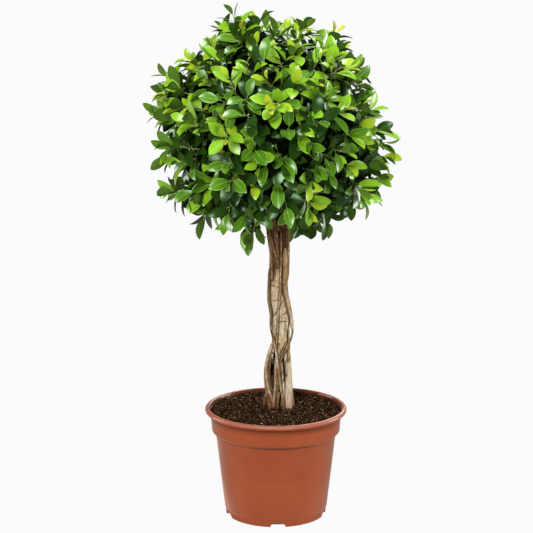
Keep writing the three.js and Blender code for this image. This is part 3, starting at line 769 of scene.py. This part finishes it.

# %% [markdown]
# The roots that show best in front cross each other in their own way. Each is drawn through a few points,
# read off the photograph as real sizes, and lies where a ray from the front meets the skin. Dark seams,
# stains, a painted shadow and a painted highlight are drawn as lines on the front in the same way.

# %% Roots and seams drawn on the front
# Radii at the two ends, how far the middle stands off the skin, how brown from 0 to 1, and points: how far
# right, and height above ground.
FRONT_ROOTS = [
    ((2.4, 2.2), 0.6, 0.75, [(-13, 478), (-13.5, 440), (-12.5, 412), (-10, 395), (-10, 370), (-8, 352),
                             (-5, 338)]),
    ((2.2, 2.2), 0.8, 0.3, [(-6, 344), (-1, 324), (1.5, 308), (3, 292), (6, 272), (9, 250), (11.5, 234),
                            (14, 219), (16, 203)]),
    ((1.6, 1.1), 0.4, 0.15, [(8.5, 560), (9.5, 530), (9.5, 495), (8.5, 462), (8, 440), (6, 415), (4, 395),
                             (3.5, 370), (2, 345), (0.5, 325)]),
    ((6, 2.6), 0, 0.1, [(16.5, 520), (17.5, 485), (17, 455), (19, 432), (23, 412), (27, 392), (30, 374),
                        (31, 360)]),
    ((1.9, 2.2), 0, 0.7, [(30.5, 370), (31.3, 354), (28.5, 341), (23, 328), (16, 316), (9, 301)]),
    ((1.7, 2.2), 0.4, 0.1, [(27, 373), (24.5, 352), (24.5, 338), (25, 322), (23, 300)]),
    ((2.8, 3), 0.8, 0.15, [(-5, 335), (-12, 318), (-17, 300), (-18.5, 280), (-17, 260), (-13.5, 243),
                           (-8.5, 230), (-5, 218)]),
    ((2.5, 1.2), 0.4, 0, [(-7, 313), (-6.5, 302), (-5, 290)]),
    ((2.6, 2.8), 0.6, 0.3, [(1, 312), (-0.5, 290), (-1, 265), (-2, 245), (-3.5, 228), (-5, 208)]),
    ((2.4, 3.6), 0.4, 0.6, [(-15, 250), (-18, 236), (-21, 220), (-22, 204)]),
    ((2.6, 3.2), 0.4, 0.7, [(6, 240), (4, 226), (2, 206)]),
    ((3, 1.6), 0.5, 0.5, [(-16, 566), (-12, 548), (-7, 530), (-3, 514), (1, 500), (4, 484)]),
    ((2.6, 1.5), 0.4, 0.6, [(-7, 562), (-2, 540), (2, 520), (4.5, 503)]),
    ((3.4, 2.2), 0.2, 0.5, [(-14, 548), (-11, 525), (-9, 505), (-8, 480), (-8, 458)]),
    ((1.5, 1.3), 0.4, 0.5, [(24, 333), (17, 319), (11, 305), (8, 296)]),
    ((1.3, 1.1), 0.4, 0.5, [(20, 335), (14, 322), (9, 311)]),
    ((2.4, 2.2), 0.2, 0.85, [(-9, 304), (-12.5, 285), (-13.5, 262), (-12, 240), (-11, 222)]),
    ((1.8, 1.6), 0.2, 0.9, [(-6, 268), (-7.5, 244), (-7, 216)]),
]
# Half width of each dark seam, which is partly a gap between strands and partly painted shade, and its
# points.
SEAMS = [
    (1.2, [(6.5, 548), (6, 520), (7, 498), (8, 486)]), (2.4, [(15, 556), (16, 532), (14, 510)]),
    (1, [(11.5, 505), (11.5, 480), (11, 455)]), (1.2, [(-1, 502), (-2, 486), (-3, 468)]),
    (1.3, [(10, 448), (13, 432), (17, 420), (20.5, 405), (24, 390), (27, 379)]),
    (0.3, [(15, 421), (9, 410), (3, 400), (-3, 389), (-8, 384)]), (0.2, [(-9, 419), (-4, 418), (1, 419)]),
    (0.3, [(-9, 447), (-5, 446), (-1, 447)]), (0.6, [(7, 377), (12, 378), (18, 377)]),
    (0.2, [(12, 391), (16, 391), (20, 397)]), (0.4, [(4, 334), (8, 333)]), (0.2, [(2, 445), (6, 444)]),
    (1.4, [(-8, 292), (-9, 270), (-8, 250), (-6, 233)]), (1.2, [(7, 296), (8, 280), (9.5, 262), (10.5, 250)]),
    (1.2, [(4, 252), (6, 232)]), (1, [(6, 302), (11, 309), (16, 318)]),
    (0.5, [(20, 272), (14, 262), (11, 254)]), (0.5, [(19, 300), (17, 285), (18, 272)]),
    (0.5, [(9, 292), (12, 276), (10, 266)]),
]
# Half width of each stain, or of the painted shadow or painted highlight, how strong it is, its colour and
# its points.
STAINS_AND_PAINTED_LIGHT = {
    "pale": (6, 0.65, "c9bbaa", [(21, 305), (22, 255), (25, 206)]),
    "reddish": (4, 0.75, "6f3d20", [(-13, 294), (-14, 262), (-19, 232), (-20, 206), (0, 212), (3, 232)]),
    "mossy": (2.5, 0.8, "5d5f2b", [(3, 332), (4, 320), (3, 308)]),
    "earthy": (4, 0.65, "5d4326", [(-8, 500), (-5, 484), (-8, 468), (-7, 453)]),
    # A painted highlight, where light falls on the bulge at the right.
    "painted_lit_bulge": (3.5, 0.7, "c4a679", [(18, 508), (18, 490), (18.5, 470), (17, 450)]),
    "grey": (4, 0.5, "c3b69f", [(-4, 436), (3, 396), (9, 366), (12, 344)]),
    # A painted shadow, cast by the head on the top of the stem.
    "painted_head_shadow": (6.5, 0.85, "301c0b", [(15, 550), (15, 532), (12, 514)]),
}


CURVE_STEPS = 6


def curve_through(points):
    """A smooth line of points through the given ones, with the share of the way along each."""
    ends = [points[0]] + points + [points[-1]]
    line = []
    for k in range(len(points) - 1):
        before, start, end, after = [Vector(point) for point in ends[k : k + 4]]
        handles = start + (end - before) / 6, end - (after - start) / 6
        bend = interpolate_bezier(start, *handles, end, CURVE_STEPS + 1)
        for i in range(CURVE_STEPS + (k == len(points) - 2)):
            line.append((bend[i], (k + i / CURVE_STEPS) / (len(points) - 1)))
    return line


RAY_START = -0.2  # metres, well in front of the stem


def front_root(radii, stand_off, points):
    """The points and radii of a root that lies on the front of the skin, thin at both ends.

    A root doesn't follow every dent of the skin, so its line is evened out a few times.
    """
    flat = curve_through(points)
    fronts = []
    for place, _ in flat:
        found, spot, _, _ = bark.ray_cast((place.x * MM, RAY_START, place.y * MM), (0, 1, 0))
        fronts.append(spot.y / MM if found else stem_at(place.y - SOIL_LEVEL)[0].y - 4)
    for _ in range(4):
        inner = [min(b, (a + b + c) / 3 + 0.3) for a, b, c in zip(fronts, fronts[1:], fronts[2:])]
        fronts = [fronts[0]] + inner + [fronts[-1]]
    path = []
    for (place, share), front in zip(flat, fronts):
        knotty = 1 + 0.2 * noise.noise(Vector((place.x / 9, place.y / 9, 3)))
        knotty *= 0.4 + 0.6 * smoothstep(min(share, 1 - share), 0, 0.08)
        path.append((Vector((place.x, front - stand_off, place.y)), between(share, radii) * knotty))
    return path


# %% [markdown]
# The skin is then carved. Furrows and scars are noise patterns stretched along the stem or round it, and
# seams run where they are drawn and beside the front roots. Creases lie where the skin is well below its own
# smoothed shape. Each of these numbers is also kept on each point as an attribute, so that the colour is dark
# exactly where the surface is low. In the creases that dark is painted shade, in the seams it is partly a
# dark gap and partly painted shade, and in the furrows partly the bark's own colour and partly painted shade.

# %% Carving the bark
FURROW_DEPTH, BOUGH_FURROW_DEPTH, SEAM_DEPTH = 0.9, 0.3, 1.3
HEAD_FOOT = 0.62  # metres above the ground, where only boughs are left
SEAM_FADE, ROOT_SEAM_FADE, MARK_FADE = 1.3, 2.8, 4


def smoothed(places, edges, rounds):
    """Each point moved to the average of its neighbours, some number of times."""
    count = np.bincount(edges.ravel(), minlength=len(places)).astype(float)[:, None]
    for _ in range(rounds):
        total = np.zeros_like(places)
        np.add.at(total, edges[:, 0], places[edges[:, 1]])
        np.add.at(total, edges[:, 1], places[edges[:, 0]])
        places = total / count
    return places


def nearness(line, reach, fade):
    """For each point of the front, 1 within reach of a line drawn on it, fading to 0, in millimetres."""
    best = np.full(len(front_view), np.inf)
    for start, end in zip(line, line[1:]):
        way = np.array(end, float) - start
        share = np.clip((front_view - start) @ way / (way @ way), 0, 1)
        best = np.minimum(best, np.linalg.norm(front_view - start - share[:, None] * way, axis=1))
    return np.clip(1 - (best - reach) / fade, 0, 1) * facing


edges = read(bark.data.edges, "vertices", 2, np.int64)
places = smoothed(read(bark.data.vertices, "co", 3), edges, 2)
bark.data.vertices.foreach_set("co", places.ravel())
bark.data.update()
root_paths = [front_root(radii, stand_off, points) for radii, stand_off, _, points in FRONT_ROOTS]
normals = read(bark.data.vertices, "normal", 3)
front_view = places[:, [0, 2]] / MM
facing = np.clip(-2.5 * normals[:, 1], 0, 1)  # 1 on the front, 0 on the back, and between them at the sides
broad = ((smoothed(places, edges, 36) - places) * normals).sum(axis=1) / MM
sharp = ((smoothed(places, edges, 6) - places) * normals).sum(axis=1) / MM
seam_and_painted_shade = np.zeros(len(places))
for half_width, line in SEAMS:
    seam_and_painted_shade = np.maximum(seam_and_painted_shade, nearness(line, half_width, SEAM_FADE))
# A dark seam round each front root, which is painted shade where the root meets the skin.
for path in root_paths:
    line = [(place.x, place.z) for place, _ in path]
    root_radius = sum(radius for _, radius in path) / len(path)
    seam_and_painted_shade = np.maximum(seam_and_painted_shade, nearness(line, root_radius + 0.2, ROOT_SEAM_FADE))
# Creases: where the skin lies below its smoothed shape, to be darkened as painted shade.
painted_crease_shade = np.clip(broad / 2.6 + sharp / 0.7, 0, 1)
furrow = np.empty(len(places))
for i, (x, y, z) in enumerate(places / MM):
    # Long and short furrows run up the stem. Scars run round it, where a ring pattern crosses zero.
    long_furrow = smoothstep(noise.noise(Vector((x / 3.2, y / 3.2, z / 42))), 0.05, 0.55)
    short_furrow = smoothstep(noise.noise(Vector((x / 1.6, y / 1.6, z / 12))), 0.1, 0.6)
    ring = smoothstep(0.04 - abs(noise.noise(Vector((x / 18, y / 18, z / 6)))), 0.0, 0.04)
    scarred = smoothstep(noise.noise(Vector((x, y, z)) / 21), 0.1, 0.35)
    furrow[i] = min(1, 0.7 * (ring * scarred) + 0.8 * long_furrow + 0.3 * short_furrow)
furrow_depth = np.where(places[:, 2] > HEAD_FOOT, BOUGH_FURROW_DEPTH, FURROW_DEPTH)
depth = (furrow_depth * furrow + SEAM_DEPTH * seam_and_painted_shade) * MM
bark.data.vertices.foreach_set("co", (places - normals * depth[:, None]).ravel())
for label, values in (("furrow", furrow), ("painted_crease_shade", painted_crease_shade), ("seam_and_painted_shade", seam_and_painted_shade)):
    keep_shade(bark, label, values)
for mark, (half_width, _, _, line) in STAINS_AND_PAINTED_LIGHT.items():
    keep_shade(bark, mark, nearness(line, half_width, MARK_FADE))
bark.data.update()
shade_smooth(bark)
print("furrows", round(float(furrow.mean()), 3), "seams", round(float(seam_and_painted_shade.mean()), 3))

# %% [markdown]
# The front roots stay a piece of their own, because the voxel grid would blur tubes as thin as these. Each
# point keeps how brown it is: as brown as its root, and more at the root's sides, partly for dirt and partly
# as painted shade.

# %% The front roots as one piece
roots = [tube(path, 12) for path in root_paths]
for root, (_, _, brownness, _) in zip(roots, FRONT_ROOTS):
    sides_dirt_and_painted_shade = np.clip(1.15 + 1.35 * read(root.data.vertices, "normal", 3)[:, 1], 0, 1)
    keep_shade(root, "brownness", np.maximum(brownness, sides_dirt_and_painted_shade))
roots = pick(*roots)
bpy.ops.object.join()
shade_smooth(roots)
print(len(root_paths), "front roots")

# %% [markdown]
# The bark is pale, dusty and grey-beige, and brown under the head, where it is new, and darker there as
# painted shade from the head. Noise at several scales gives it blotches, specks and streaks. Creases are
# darkened as painted shade, seams partly as dark gaps and partly as painted shade, and furrows partly in the
# bark's own colour and partly as painted shade. The stains lie where they were drawn, with a painted shadow
# of the head and a painted highlight among them, and everything is redder where it enters the soil.

# %% Bark finishes
# Scale of the noise, how upright its marks are (1 is round), where they start, how strong, and colour.
BARK_STAINS = [
    (150, 0.6, 0.48, "c8c8c8", "674828"),
    (420, 0.14, 0.5, "c0c0c0", "4c3419"),
    (270, 0.8, 0.55, "c0c0c0", "d0c5ae"),
    (360, 0.7, 0.53, "b4b4b4", "765a38"),
]
# Towards the head the bark turns brown, partly as new bark and partly as painted shade under the head.
BROWN_FROM, BROWN_ALL = 0.45, 0.545  # heights between which the bark turns brown, in metres
REDDISH_FROM, REDDISH_ALL = 0.245, 0.208  # the same downwards, at the soil
# Tints for low places: furrows partly in the bark's own colour and partly painted shade, seams partly dark
# gaps and partly painted shade, and creases painted shade.
RELIEF_TINTS = [("furrow", 0.7, "6b4d2a"), ("seam_and_painted_shade", 0.9, "38210d"), ("painted_crease_shade", 1, "1d0f04")]


def new_bark(name, plain, pale_stops, brown_stops):
    """Blotched and streaked bark with stains, brown towards the head, partly as painted shade, and reddish
    towards the soil.
    """
    values = {"Base Color": plain, "Roughness": 0.85, "Specular IOR Level": 0.12}
    material, tree, shader = new_material(name, values)
    blotch = ramp(tree, noise_on(tree, 38, 6, 0.4), pale_stops)
    brown = ramp(tree, noise_on(tree, 60, 5, 0.25), brown_stops)
    colour = mixed(tree, height_share(tree, BROWN_FROM, BROWN_ALL), blotch, brown)
    for scale, upright, start, strongest, tint in BARK_STAINS:
        share = ramp(tree, noise_on(tree, scale, 5, upright), [(start, "000000"), (start + 0.16, strongest)])
        colour = mixed(tree, share, colour, tint)
    colour = mixed(tree, height_share(tree, REDDISH_FROM, REDDISH_ALL), colour, "6f3f20")
    return material, tree, shader, colour


bark_material, tree, shader, colour = new_bark(
    "pale_fig_bark", "b9a98a",
    [(0.34, "937953"), (0.46, "b09b78"), (0.6, "c2b298")],
    [(0.35, "3e270d"), (0.55, "6c4e2b"), (0.75, "a38558")],
)
mark_tints = [(label, strongest, tint) for label, (_, strongest, tint, _) in STAINS_AND_PAINTED_LIGHT.items()]
# Stains, the painted shadow and highlight, and the painted shade of low places each tint the bark where kept.
for label, strongest, tint in mark_tints + RELIEF_TINTS:
    limit = round(strongest * 255)
    share = ramp(tree, attribute_of(tree, label), [(0.1, "000000"), (0.7, f"{limit:02x}" * 3)])
    colour = mixed(tree, share, colour, tint)
fill(shader, {"Base Color": colour})
add_bump(tree, shader, noise_on(tree, 260, 6, 0.5), 0.7, 0.0014)
settle(bark, "bark", bark_material, ["trunk"] + BOUGH_NODES)

root_material, tree, shader, colour = new_bark(
    "root_bark", "a58a66",
    [(0.36, "876b46"), (0.48, "a88f6b"), (0.62, "c4b296")],
    [(0.36, "3e270d"), (0.5, "6e5230"), (0.66, "a88c62")],
)
# Browner by the kept brownness: the root's own colour, and at its sides partly painted shade.
colour = mixed(tree, attribute_of(tree, "brownness"), colour, "4c3115")
fill(shader, {"Base Color": colour})
add_bump(tree, shader, noise_on(tree, 300, 6, 0.3), 0.7, 0.0012)
settle(roots, "front_roots", root_material)

# %% [markdown]
# ## Twigs
# From the middle of each share of the head, branchlets fan out, and from each branchlet's end come the
# leafy twigs. Their tips are spread over the head by the golden angle, which leaves no rows and no bare
# patches, and then moved in or out a little. Some long shoots stand out where the photograph shows them.

# %% Where the twigs go
GOLDEN_TURN = math.pi * (3 - math.sqrt(5))
# Turn from the front and elevation in degrees, and how far from the head's middle.
SHOOTS = [
    (-92, 8, 208), (-90, 26, 194), (-84, 56, 188), (-82, 72, 232), (84, 56, 188), (88, -14, 208),
    (88, -38, 212), (-84, -34, 214), (-84, -53, 204), (-62, -78, 204), (172, 18, 204), (-150, -25, 204),
]
# Twigs that cover the darkest gap in front, in the same way.
FILLINGS = [(8, 9, 184), (-7, 6, 180)]
# Where the head swells out or is hollow: turn, elevation, how far, and how wide in degrees.
LOBES = [
    (90, 24, -54, 20), (88, 53, 42, 12), (88, -20, 46, 10), (88, -42, 30, 9), (88, -57, -26, 12),
    (82, -76, -26, 11), (-90, 18, 13, 18), (-90, 2, 36, 8), (-90, -15, -64, 11), (-88, -34, 4, 12),
    (-86, -61, -42, 12), (-88, 46, -8, 14), (-86, 76, 38, 14), (25, 30, 9, 22), (-35, -22, -10, 18),
    (40, -30, 8, 16), (4, -64, -56, 15), (178, 36, 10, 22), (145, -8, -16, 20), (-145, 4, -12, 18),
    (-170, -36, 10, 18),
]
# Where the sky shows through: turn, elevation and how wide in degrees.
THIN_PLACES = [(88, -18, 15), (90, -40, 17), (-90, 4, 12), (-88, -20, 14)]
THINNED = 0.55  # share of the twigs that is left out there
# Room kept between the stem's middle and branchlets or twigs, which leaves the top of the stem in view.
BRANCHLET_ROOM, TWIG_ROOM = 24, 30
LEAF_SEED = 7
draw = random.Random(LEAF_SEED)


def towards(turn, elevation):
    return heading(math.radians(turn), math.radians(elevation))


def swell_at(direction):
    """How far the head stands out or in, in a direction from its middle."""
    total = 0
    for turn, rise, swell, width in LOBES:
        total += swell * math.exp(-((direction.angle(towards(turn, rise)) / math.radians(width)) ** 2))
    return total


def is_thin(direction):
    return any(direction.angle(towards(*place)) < math.radians(reach) for *place, reach in THIN_PLACES)


def spiral(count, distance, spread, stray, relief=0):
    """Points spread over the head by the golden angle, at a distance from its middle.

    They vary at random by spread in or out and by stray sideways, and a soft relief moves them in or out too.
    """
    points = []
    for i in range(count):
        direction = heading(i * GOLDEN_TURN, math.asin(1 - 2 * (i + 0.5) / count))
        direction = (direction + Vector([draw.gauss(0, stray) for _ in range(3)])).normalized()
        far = distance + swell_at(direction) + draw.uniform(-spread, spread)
        far += relief * noise.noise(direction * 4.5)
        if not (is_thin(direction) and draw.random() < THINNED):
            points.append(crown_point(direction, far))
    return points


def nearest(point, others):
    return min(others, key=lambda other: (other - point).length_squared)


def clear_of_trunk(point, room):
    return all((point - place).length > room for place, _ in stem_path)


# A leafy twig has its line of points, a vigour from 0 to 1, and its number of leaves.
Twig = namedtuple("Twig", "line vigour leaf_count")
branch_ends = [end for end in spiral(92, 132, 14, 0.03) if clear_of_trunk(end, BRANCHLET_ROOM)]
branchlets, twigs = [], []
for end in branch_ends:
    middle = nearest(end, [site.middle for site in sites])
    branchlets.append(bezier(middle, middle.lerp(end, 0.5) + UP * 6, end, 5))
# Every tip comes with its number of leaves: long shoots, twigs on the outside, and shorter ones deeper in.
tips = [(crown_point(towards(turn, rise), reach + 4), 9) for turn, rise, reach in SHOOTS]
tips += [(tip, 11) for tip in spiral(280, 188, 20, 0.07, 50)]
tips += [(tip, 7) for tip in spiral(110, 140, 12, 0.1)]
tips += [(crown_point(towards(turn, rise), reach), 9) for turn, rise, reach in FILLINGS]
for tip, leaf_count in tips:
    start = nearest(tip, branch_ends)
    outward = (tip - CROWN_CENTRE).normalized()
    knee = start.lerp(tip, 0.45) + outward * 6 - UP * draw.uniform(0, 9)
    if clear_of_trunk(tip, TWIG_ROOM):
        vigour = min(1, max(0, draw.random() + 0.28 * outward.z + 0.04))
        twigs.append(Twig(bezier(start, knee, tip, 10), vigour, leaf_count))
print(len(branchlets), "branchlets,", len(twigs), "twigs")

# %% [markdown]
# Hundreds of thin twigs would be slow to make one by one with operators, so their tubes are written
# straight into one mesh: five corners round each point of a line, and a cap at each end.

# %% Twigs as one mesh
OFF_AXIS = Vector((0.31, 0.17, 0.93))  # hardly any twig points this way, so it gives each tube its sides
# Radii at the two ends.
BRANCHLET_RADII, TWIG_RADII, STALK_RADII = (2.9, 1.7), (1.7, 0.8), (0.75, 0.6)


def tube_parts(lines, sides):
    """Corners and faces of many thin tubes, from lists of (point, radius) pairs in millimetres."""
    vertices, faces = [], []
    for line in lines:
        first = len(vertices)
        for i, (place, radius) in enumerate(line):
            ahead = line[min(i + 1, len(line) - 1)][0] - line[max(i - 1, 0)][0]
            side = ahead.cross(OFF_AXIS).normalized()
            other = ahead.cross(side).normalized()
            for k in range(sides):
                angle = 2 * math.pi * k / sides
                vertices.append((place + (side * math.cos(angle) + other * math.sin(angle)) * radius) * MM)
        for i in range(len(line) - 1):
            for k in range(sides):
                a, b = first + i * sides + k, first + i * sides + (k + 1) % sides
                faces.append((a, b, b + sides, a + sides))
        faces.append(tuple(first + k for k in reversed(range(sides))))
        faces.append(tuple(first + (len(line) - 1) * sides + k for k in range(sides)))
    return vertices, faces


twig_lines = [tapered(line, *BRANCHLET_RADII) for line in branchlets]
twig_lines += [tapered(twig.line, *TWIG_RADII) for twig in twigs]
twig_piece = mesh_piece("twigs", *tube_parts(twig_lines, 5))
shade_smooth(twig_piece)
twig_material, tree, shader = new_material("twig_bark", {"Base Color": "6f6a45", "Roughness": 0.7})
tone = ramp(tree, noise_on(tree, 45, 3), [(0.35, "5a4a34"), (0.55, "7c7350"), (0.75, "8f8a5c")])
fill(shader, {"Base Color": tone})
settle(twig_piece, "twigs", twig_material, FOLIAGE_NODES)

# %% [markdown]
# ## Leaves
# A leaf is an ellipse with a short blunt point, folded a little along its midrib and bent back towards its
# tip. It is a strip of quads, copied thousands of times, so it has few faces. Its underside is a second,
# paler strip just below. The stalk is geometry too, and so are the pale midrib and margins of the younger
# leaves, because a painted line would be lost on a leaf this small.

# %% One leaf
# Share of the length, half width as a share of the width, and drop at the tip as a share of the length.
LEAF_ROWS = [
    (0, 0.03, 0), (0.1, 0.19, 0.01), (0.25, 0.37, 0.02), (0.43, 0.485, 0.018),
    (0.6, 0.5, 0.002), (0.76, 0.42, -0.03), (0.89, 0.26, -0.072), (0.96, 0.11, -0.105),
]
LEAF_TIP_DROP = -0.125
LEAF_THICKNESS = 0.35
# Colour, roughness, strength of the green-tinted shine and weight of the clear coat.
LEAF_FINISHES = {
    "lime": ("abb52c", 0.34, 0.2, 0.8),
    "young": ("8ba71c", 0.34, 0.2, 0.8),
    "bright": ("72a019", 0.34, 0.2, 0.8),
    "mid": ("467210", 0.34, 0.3, 0.7),
    "deep": ("1b3609", 0.26, 0.6, 0.2),
    "shaded": ("050a02", 0.7, 0.06, 0),
    "underside": ("4a6723", 0.7, 0.06, 0),
}


class LeafBatch:
    """Corners and faces of all the leaf sides that share a colour."""

    def __init__(self):
        self.vertices, self.faces = [], []

    def add(self, base, along, face, length, width, fold, curl):
        side = along.cross(face)
        first = len(self.vertices)
        for share, half, drop in LEAF_ROWS:
            middle = base + along * (length * share) + face * (length * drop * curl)
            reach = half * width
            left, right = [middle + side * s * reach + face * reach * fold for s in (1, -1)]
            self.vertices += [left * MM, middle * MM, right * MM]
        self.vertices.append((base + along * length + face * (length * LEAF_TIP_DROP * curl)) * MM)
        last = len(LEAF_ROWS) - 1
        for i in range(last):
            for a in (first + 3 * i, first + 3 * i + 1):
                self.faces.append((a, a + 3, a + 4, a + 1))
        tip = first + 3 * last + 3
        self.faces += [(tip - 3, tip, tip - 2), (tip - 2, tip, tip - 1)]


batches = {name: LeafBatch() for name in LEAF_FINISHES}
stalks, ribs = [], []

# %% [markdown]
# Leaves stand round a twig by the golden angle, wide open lower down and more upright near its tip, and
# turn their upper side to the light. New leaves at the tips of strong twigs are small and lime, and further
# back come bright, mid and deep green ones. Those well inside the head are nearly black, because so little
# light gets in.

# %% Setting the leaves
SHADED_DEPTH = 158  # distance from the head's middle within which leaves are in the dark
AGE_STEP, AGE_OF_WEAK, AGE_STRAY = 0.66, 5.6, 0.9
AGE_LIMITS = [(0.6, "lime"), (1.9, "young"), (3.8, "bright"), (5.4, "mid")]
LEAF_STEP = 6  # distance from leaf to leaf along a twig
STALK_SHARE = 0.17  # length of the stalk as a share of the leaf's
LEAF_WIDTHS, LEAF_FOLDS, LEAF_CURLS, LEAF_DROOPS = (0.45, 0.57), (0.12, 0.4), (0.3, 1.7), (0.02, 0.3)
TIP_ROOM, BLADE_ROOM = 24, 20  # room kept between the stem's middle and a leaf's two ends


def colour_of(twig, order, place):
    """The batch for a leaf at a place, so many leaves back from its twig's tip."""
    age = order * AGE_STEP + (1 - twig.vigour) * AGE_OF_WEAK + draw.uniform(-AGE_STRAY, AGE_STRAY)
    if crown_depth(place) < SHADED_DEPTH + min(0, swell_at(place - CROWN_CENTRE)):
        return "shaded"
    for limit, name in AGE_LIMITS:
        if age < limit:
            return name
    return "deep"


def point_back(line, distance):
    """The place and the direction of growth at a distance back from a line's end."""
    for end, start in zip(reversed(line), reversed(line[:-1])):
        step = (end - start).length
        if distance <= step:
            return end.lerp(start, distance / step), (end - start).normalized()
        distance -= step
    return line[0].copy(), (line[1] - line[0]).normalized()


def set_leaf(twig, order, back, lean, length):
    """One leaf on a twig, at a distance back from its tip, at an angle to the twig and of a length."""
    base, way = point_back(twig.line, back)
    outward = (base - CROWN_CENTRE).normalized()
    growth = (way.lerp(outward, 0.45) + UP * 0.12).normalized()
    spoke = growth.cross(UP).normalized()
    spoke.rotate(Quaternion(growth, twig.vigour * 40 + order * GOLDEN_TURN + draw.uniform(-0.6, 0.6)))
    along = growth * math.cos(lean) + spoke * math.sin(lean)
    along = (along - UP * draw.uniform(*LEAF_DROOPS)).normalized()
    inward = growth * math.sin(lean) - spoke * math.cos(lean)
    face = inward * 0.75 + growth * 0.2 + UP * 0.5 + Vector([draw.uniform(-0.35, 0.35) for _ in range(3)])
    face = (face - along * face.dot(along)).normalized()
    blade = base + along * length * STALK_SHARE
    tip = blade + along * length
    if not (clear_of_trunk(tip, TIP_ROOM) and clear_of_trunk(blade, BLADE_ROOM)):
        return
    width = length * draw.uniform(*LEAF_WIDTHS)
    fold, curl = draw.uniform(*LEAF_FOLDS), draw.uniform(*LEAF_CURLS)
    colour = colour_of(twig, order, blade)
    batches[colour].add(blade, along, face, length, width, fold, curl)
    batches["underside"].add(blade - face * LEAF_THICKNESS, along, face, length, width, fold, curl)
    stalks.append([(base, STALK_RADII[0]), (blade + along, STALK_RADII[1])])
    if colour not in ("deep", "shaded"):
        ribs.append((blade, along, face, length, width, fold, curl))


for twig in twigs:
    for order in range(twig.leaf_count):
        growing = smoothstep(order + 3 * (1 - twig.vigour), -0.5, 3)
        lean = between(min(1, order / 5), (0.35, 1.2)) + draw.uniform(-0.3, 0.3)
        length = between(growing, (22, 40)) + draw.uniform(-5, 4)
        set_leaf(twig, order, 0.5 + order * LEAF_STEP + draw.uniform(0, 2.5), lean, length)
print(len(stalks), "leaves,", len(ribs), "of them with a midrib and margins")

# %% [markdown]
# Stalks are thin tubes with three corners. Midribs and margins are flat strips along the same rows as the
# blade, just above it. They share one plain, pale green.

# %% Stalks, midribs and margins
# Half width of the midrib at its foot, as a share of the leaf's width, and inner edge of the margins, as a
# share of the leaf's half width.
RIB_HALF, MARGIN = 0.026, 0.915
RIB_RISE = 0.2  # how far they stand above the blade


def rib_parts(ribs):
    """Narrow raised strips along each leaf's middle and along its two margins."""
    vertices, faces = [], []
    for base, along, face, length, width, fold, curl in ribs:
        side = along.cross(face)
        for outer, inner in ((RIB_HALF, -RIB_HALF), (1, MARGIN), (-MARGIN, -1)):
            first = len(vertices)
            rows = LEAF_ROWS[:6] if outer == RIB_HALF else LEAF_ROWS[1:]
            for share, half, drop in rows:
                middle = base + along * (length * share) + face * (length * drop * curl + RIB_RISE)
                for edge in (outer, inner):
                    reach = edge * (1.1 - share if abs(edge) == RIB_HALF else half) * width
                    vertices.append((middle + side * reach + face * abs(reach) * fold) * MM)
            for i in range(len(rows) - 1):
                a = first + 2 * i
                faces.append((a, a + 2, a + 3, a + 1))
    return vertices, faces


stalk_vertices, stalk_faces = tube_parts(stalks, 3)
rib_vertices, rib_faces = rib_parts(ribs)
offset = len(stalk_vertices)
rib_faces = [tuple(i + offset for i in face) for face in rib_faces]
rib_piece = mesh_piece("leaf_ribs", stalk_vertices + rib_vertices, stalk_faces + rib_faces)
rib_material, _, _ = new_material("leaf_rib", {"Base Color": "86a945", "Roughness": 0.5})
settle(rib_piece, "leaf_ribs", rib_material)

# %% [markdown]
# Fig leaves have a waxy skin, so each green is a fairly smooth surface with a thin clear coat, and a faint
# bump makes its shine uneven. Old leaves have less of a coat and mirror the light with a green tint.
# Undersides and leaves inside the head are dull. Each green is one plain colour, so that the colour of a
# leaf has its place.

# %% Leaf finishes
for name, batch in batches.items():
    colour, roughness, shine, coat = LEAF_FINISHES[name]
    material, tree, shader = new_material(f"leaf_{name}", {
        "Base Color": colour, "Roughness": roughness, "Specular IOR Level": shine,
        "Specular Tint": "a8d49e", "Coat Weight": coat, "Coat Roughness": 0.26,
    })
    add_bump(tree, shader, noise_on(tree, 160, 2), 0.15, 0.001)
    leaves = mesh_piece(f"leaves_{name}", batch.vertices, batch.faces)
    shade_smooth(leaves)
    settle(leaves, f"leaves_{name}", material, FOLIAGE_NODES)
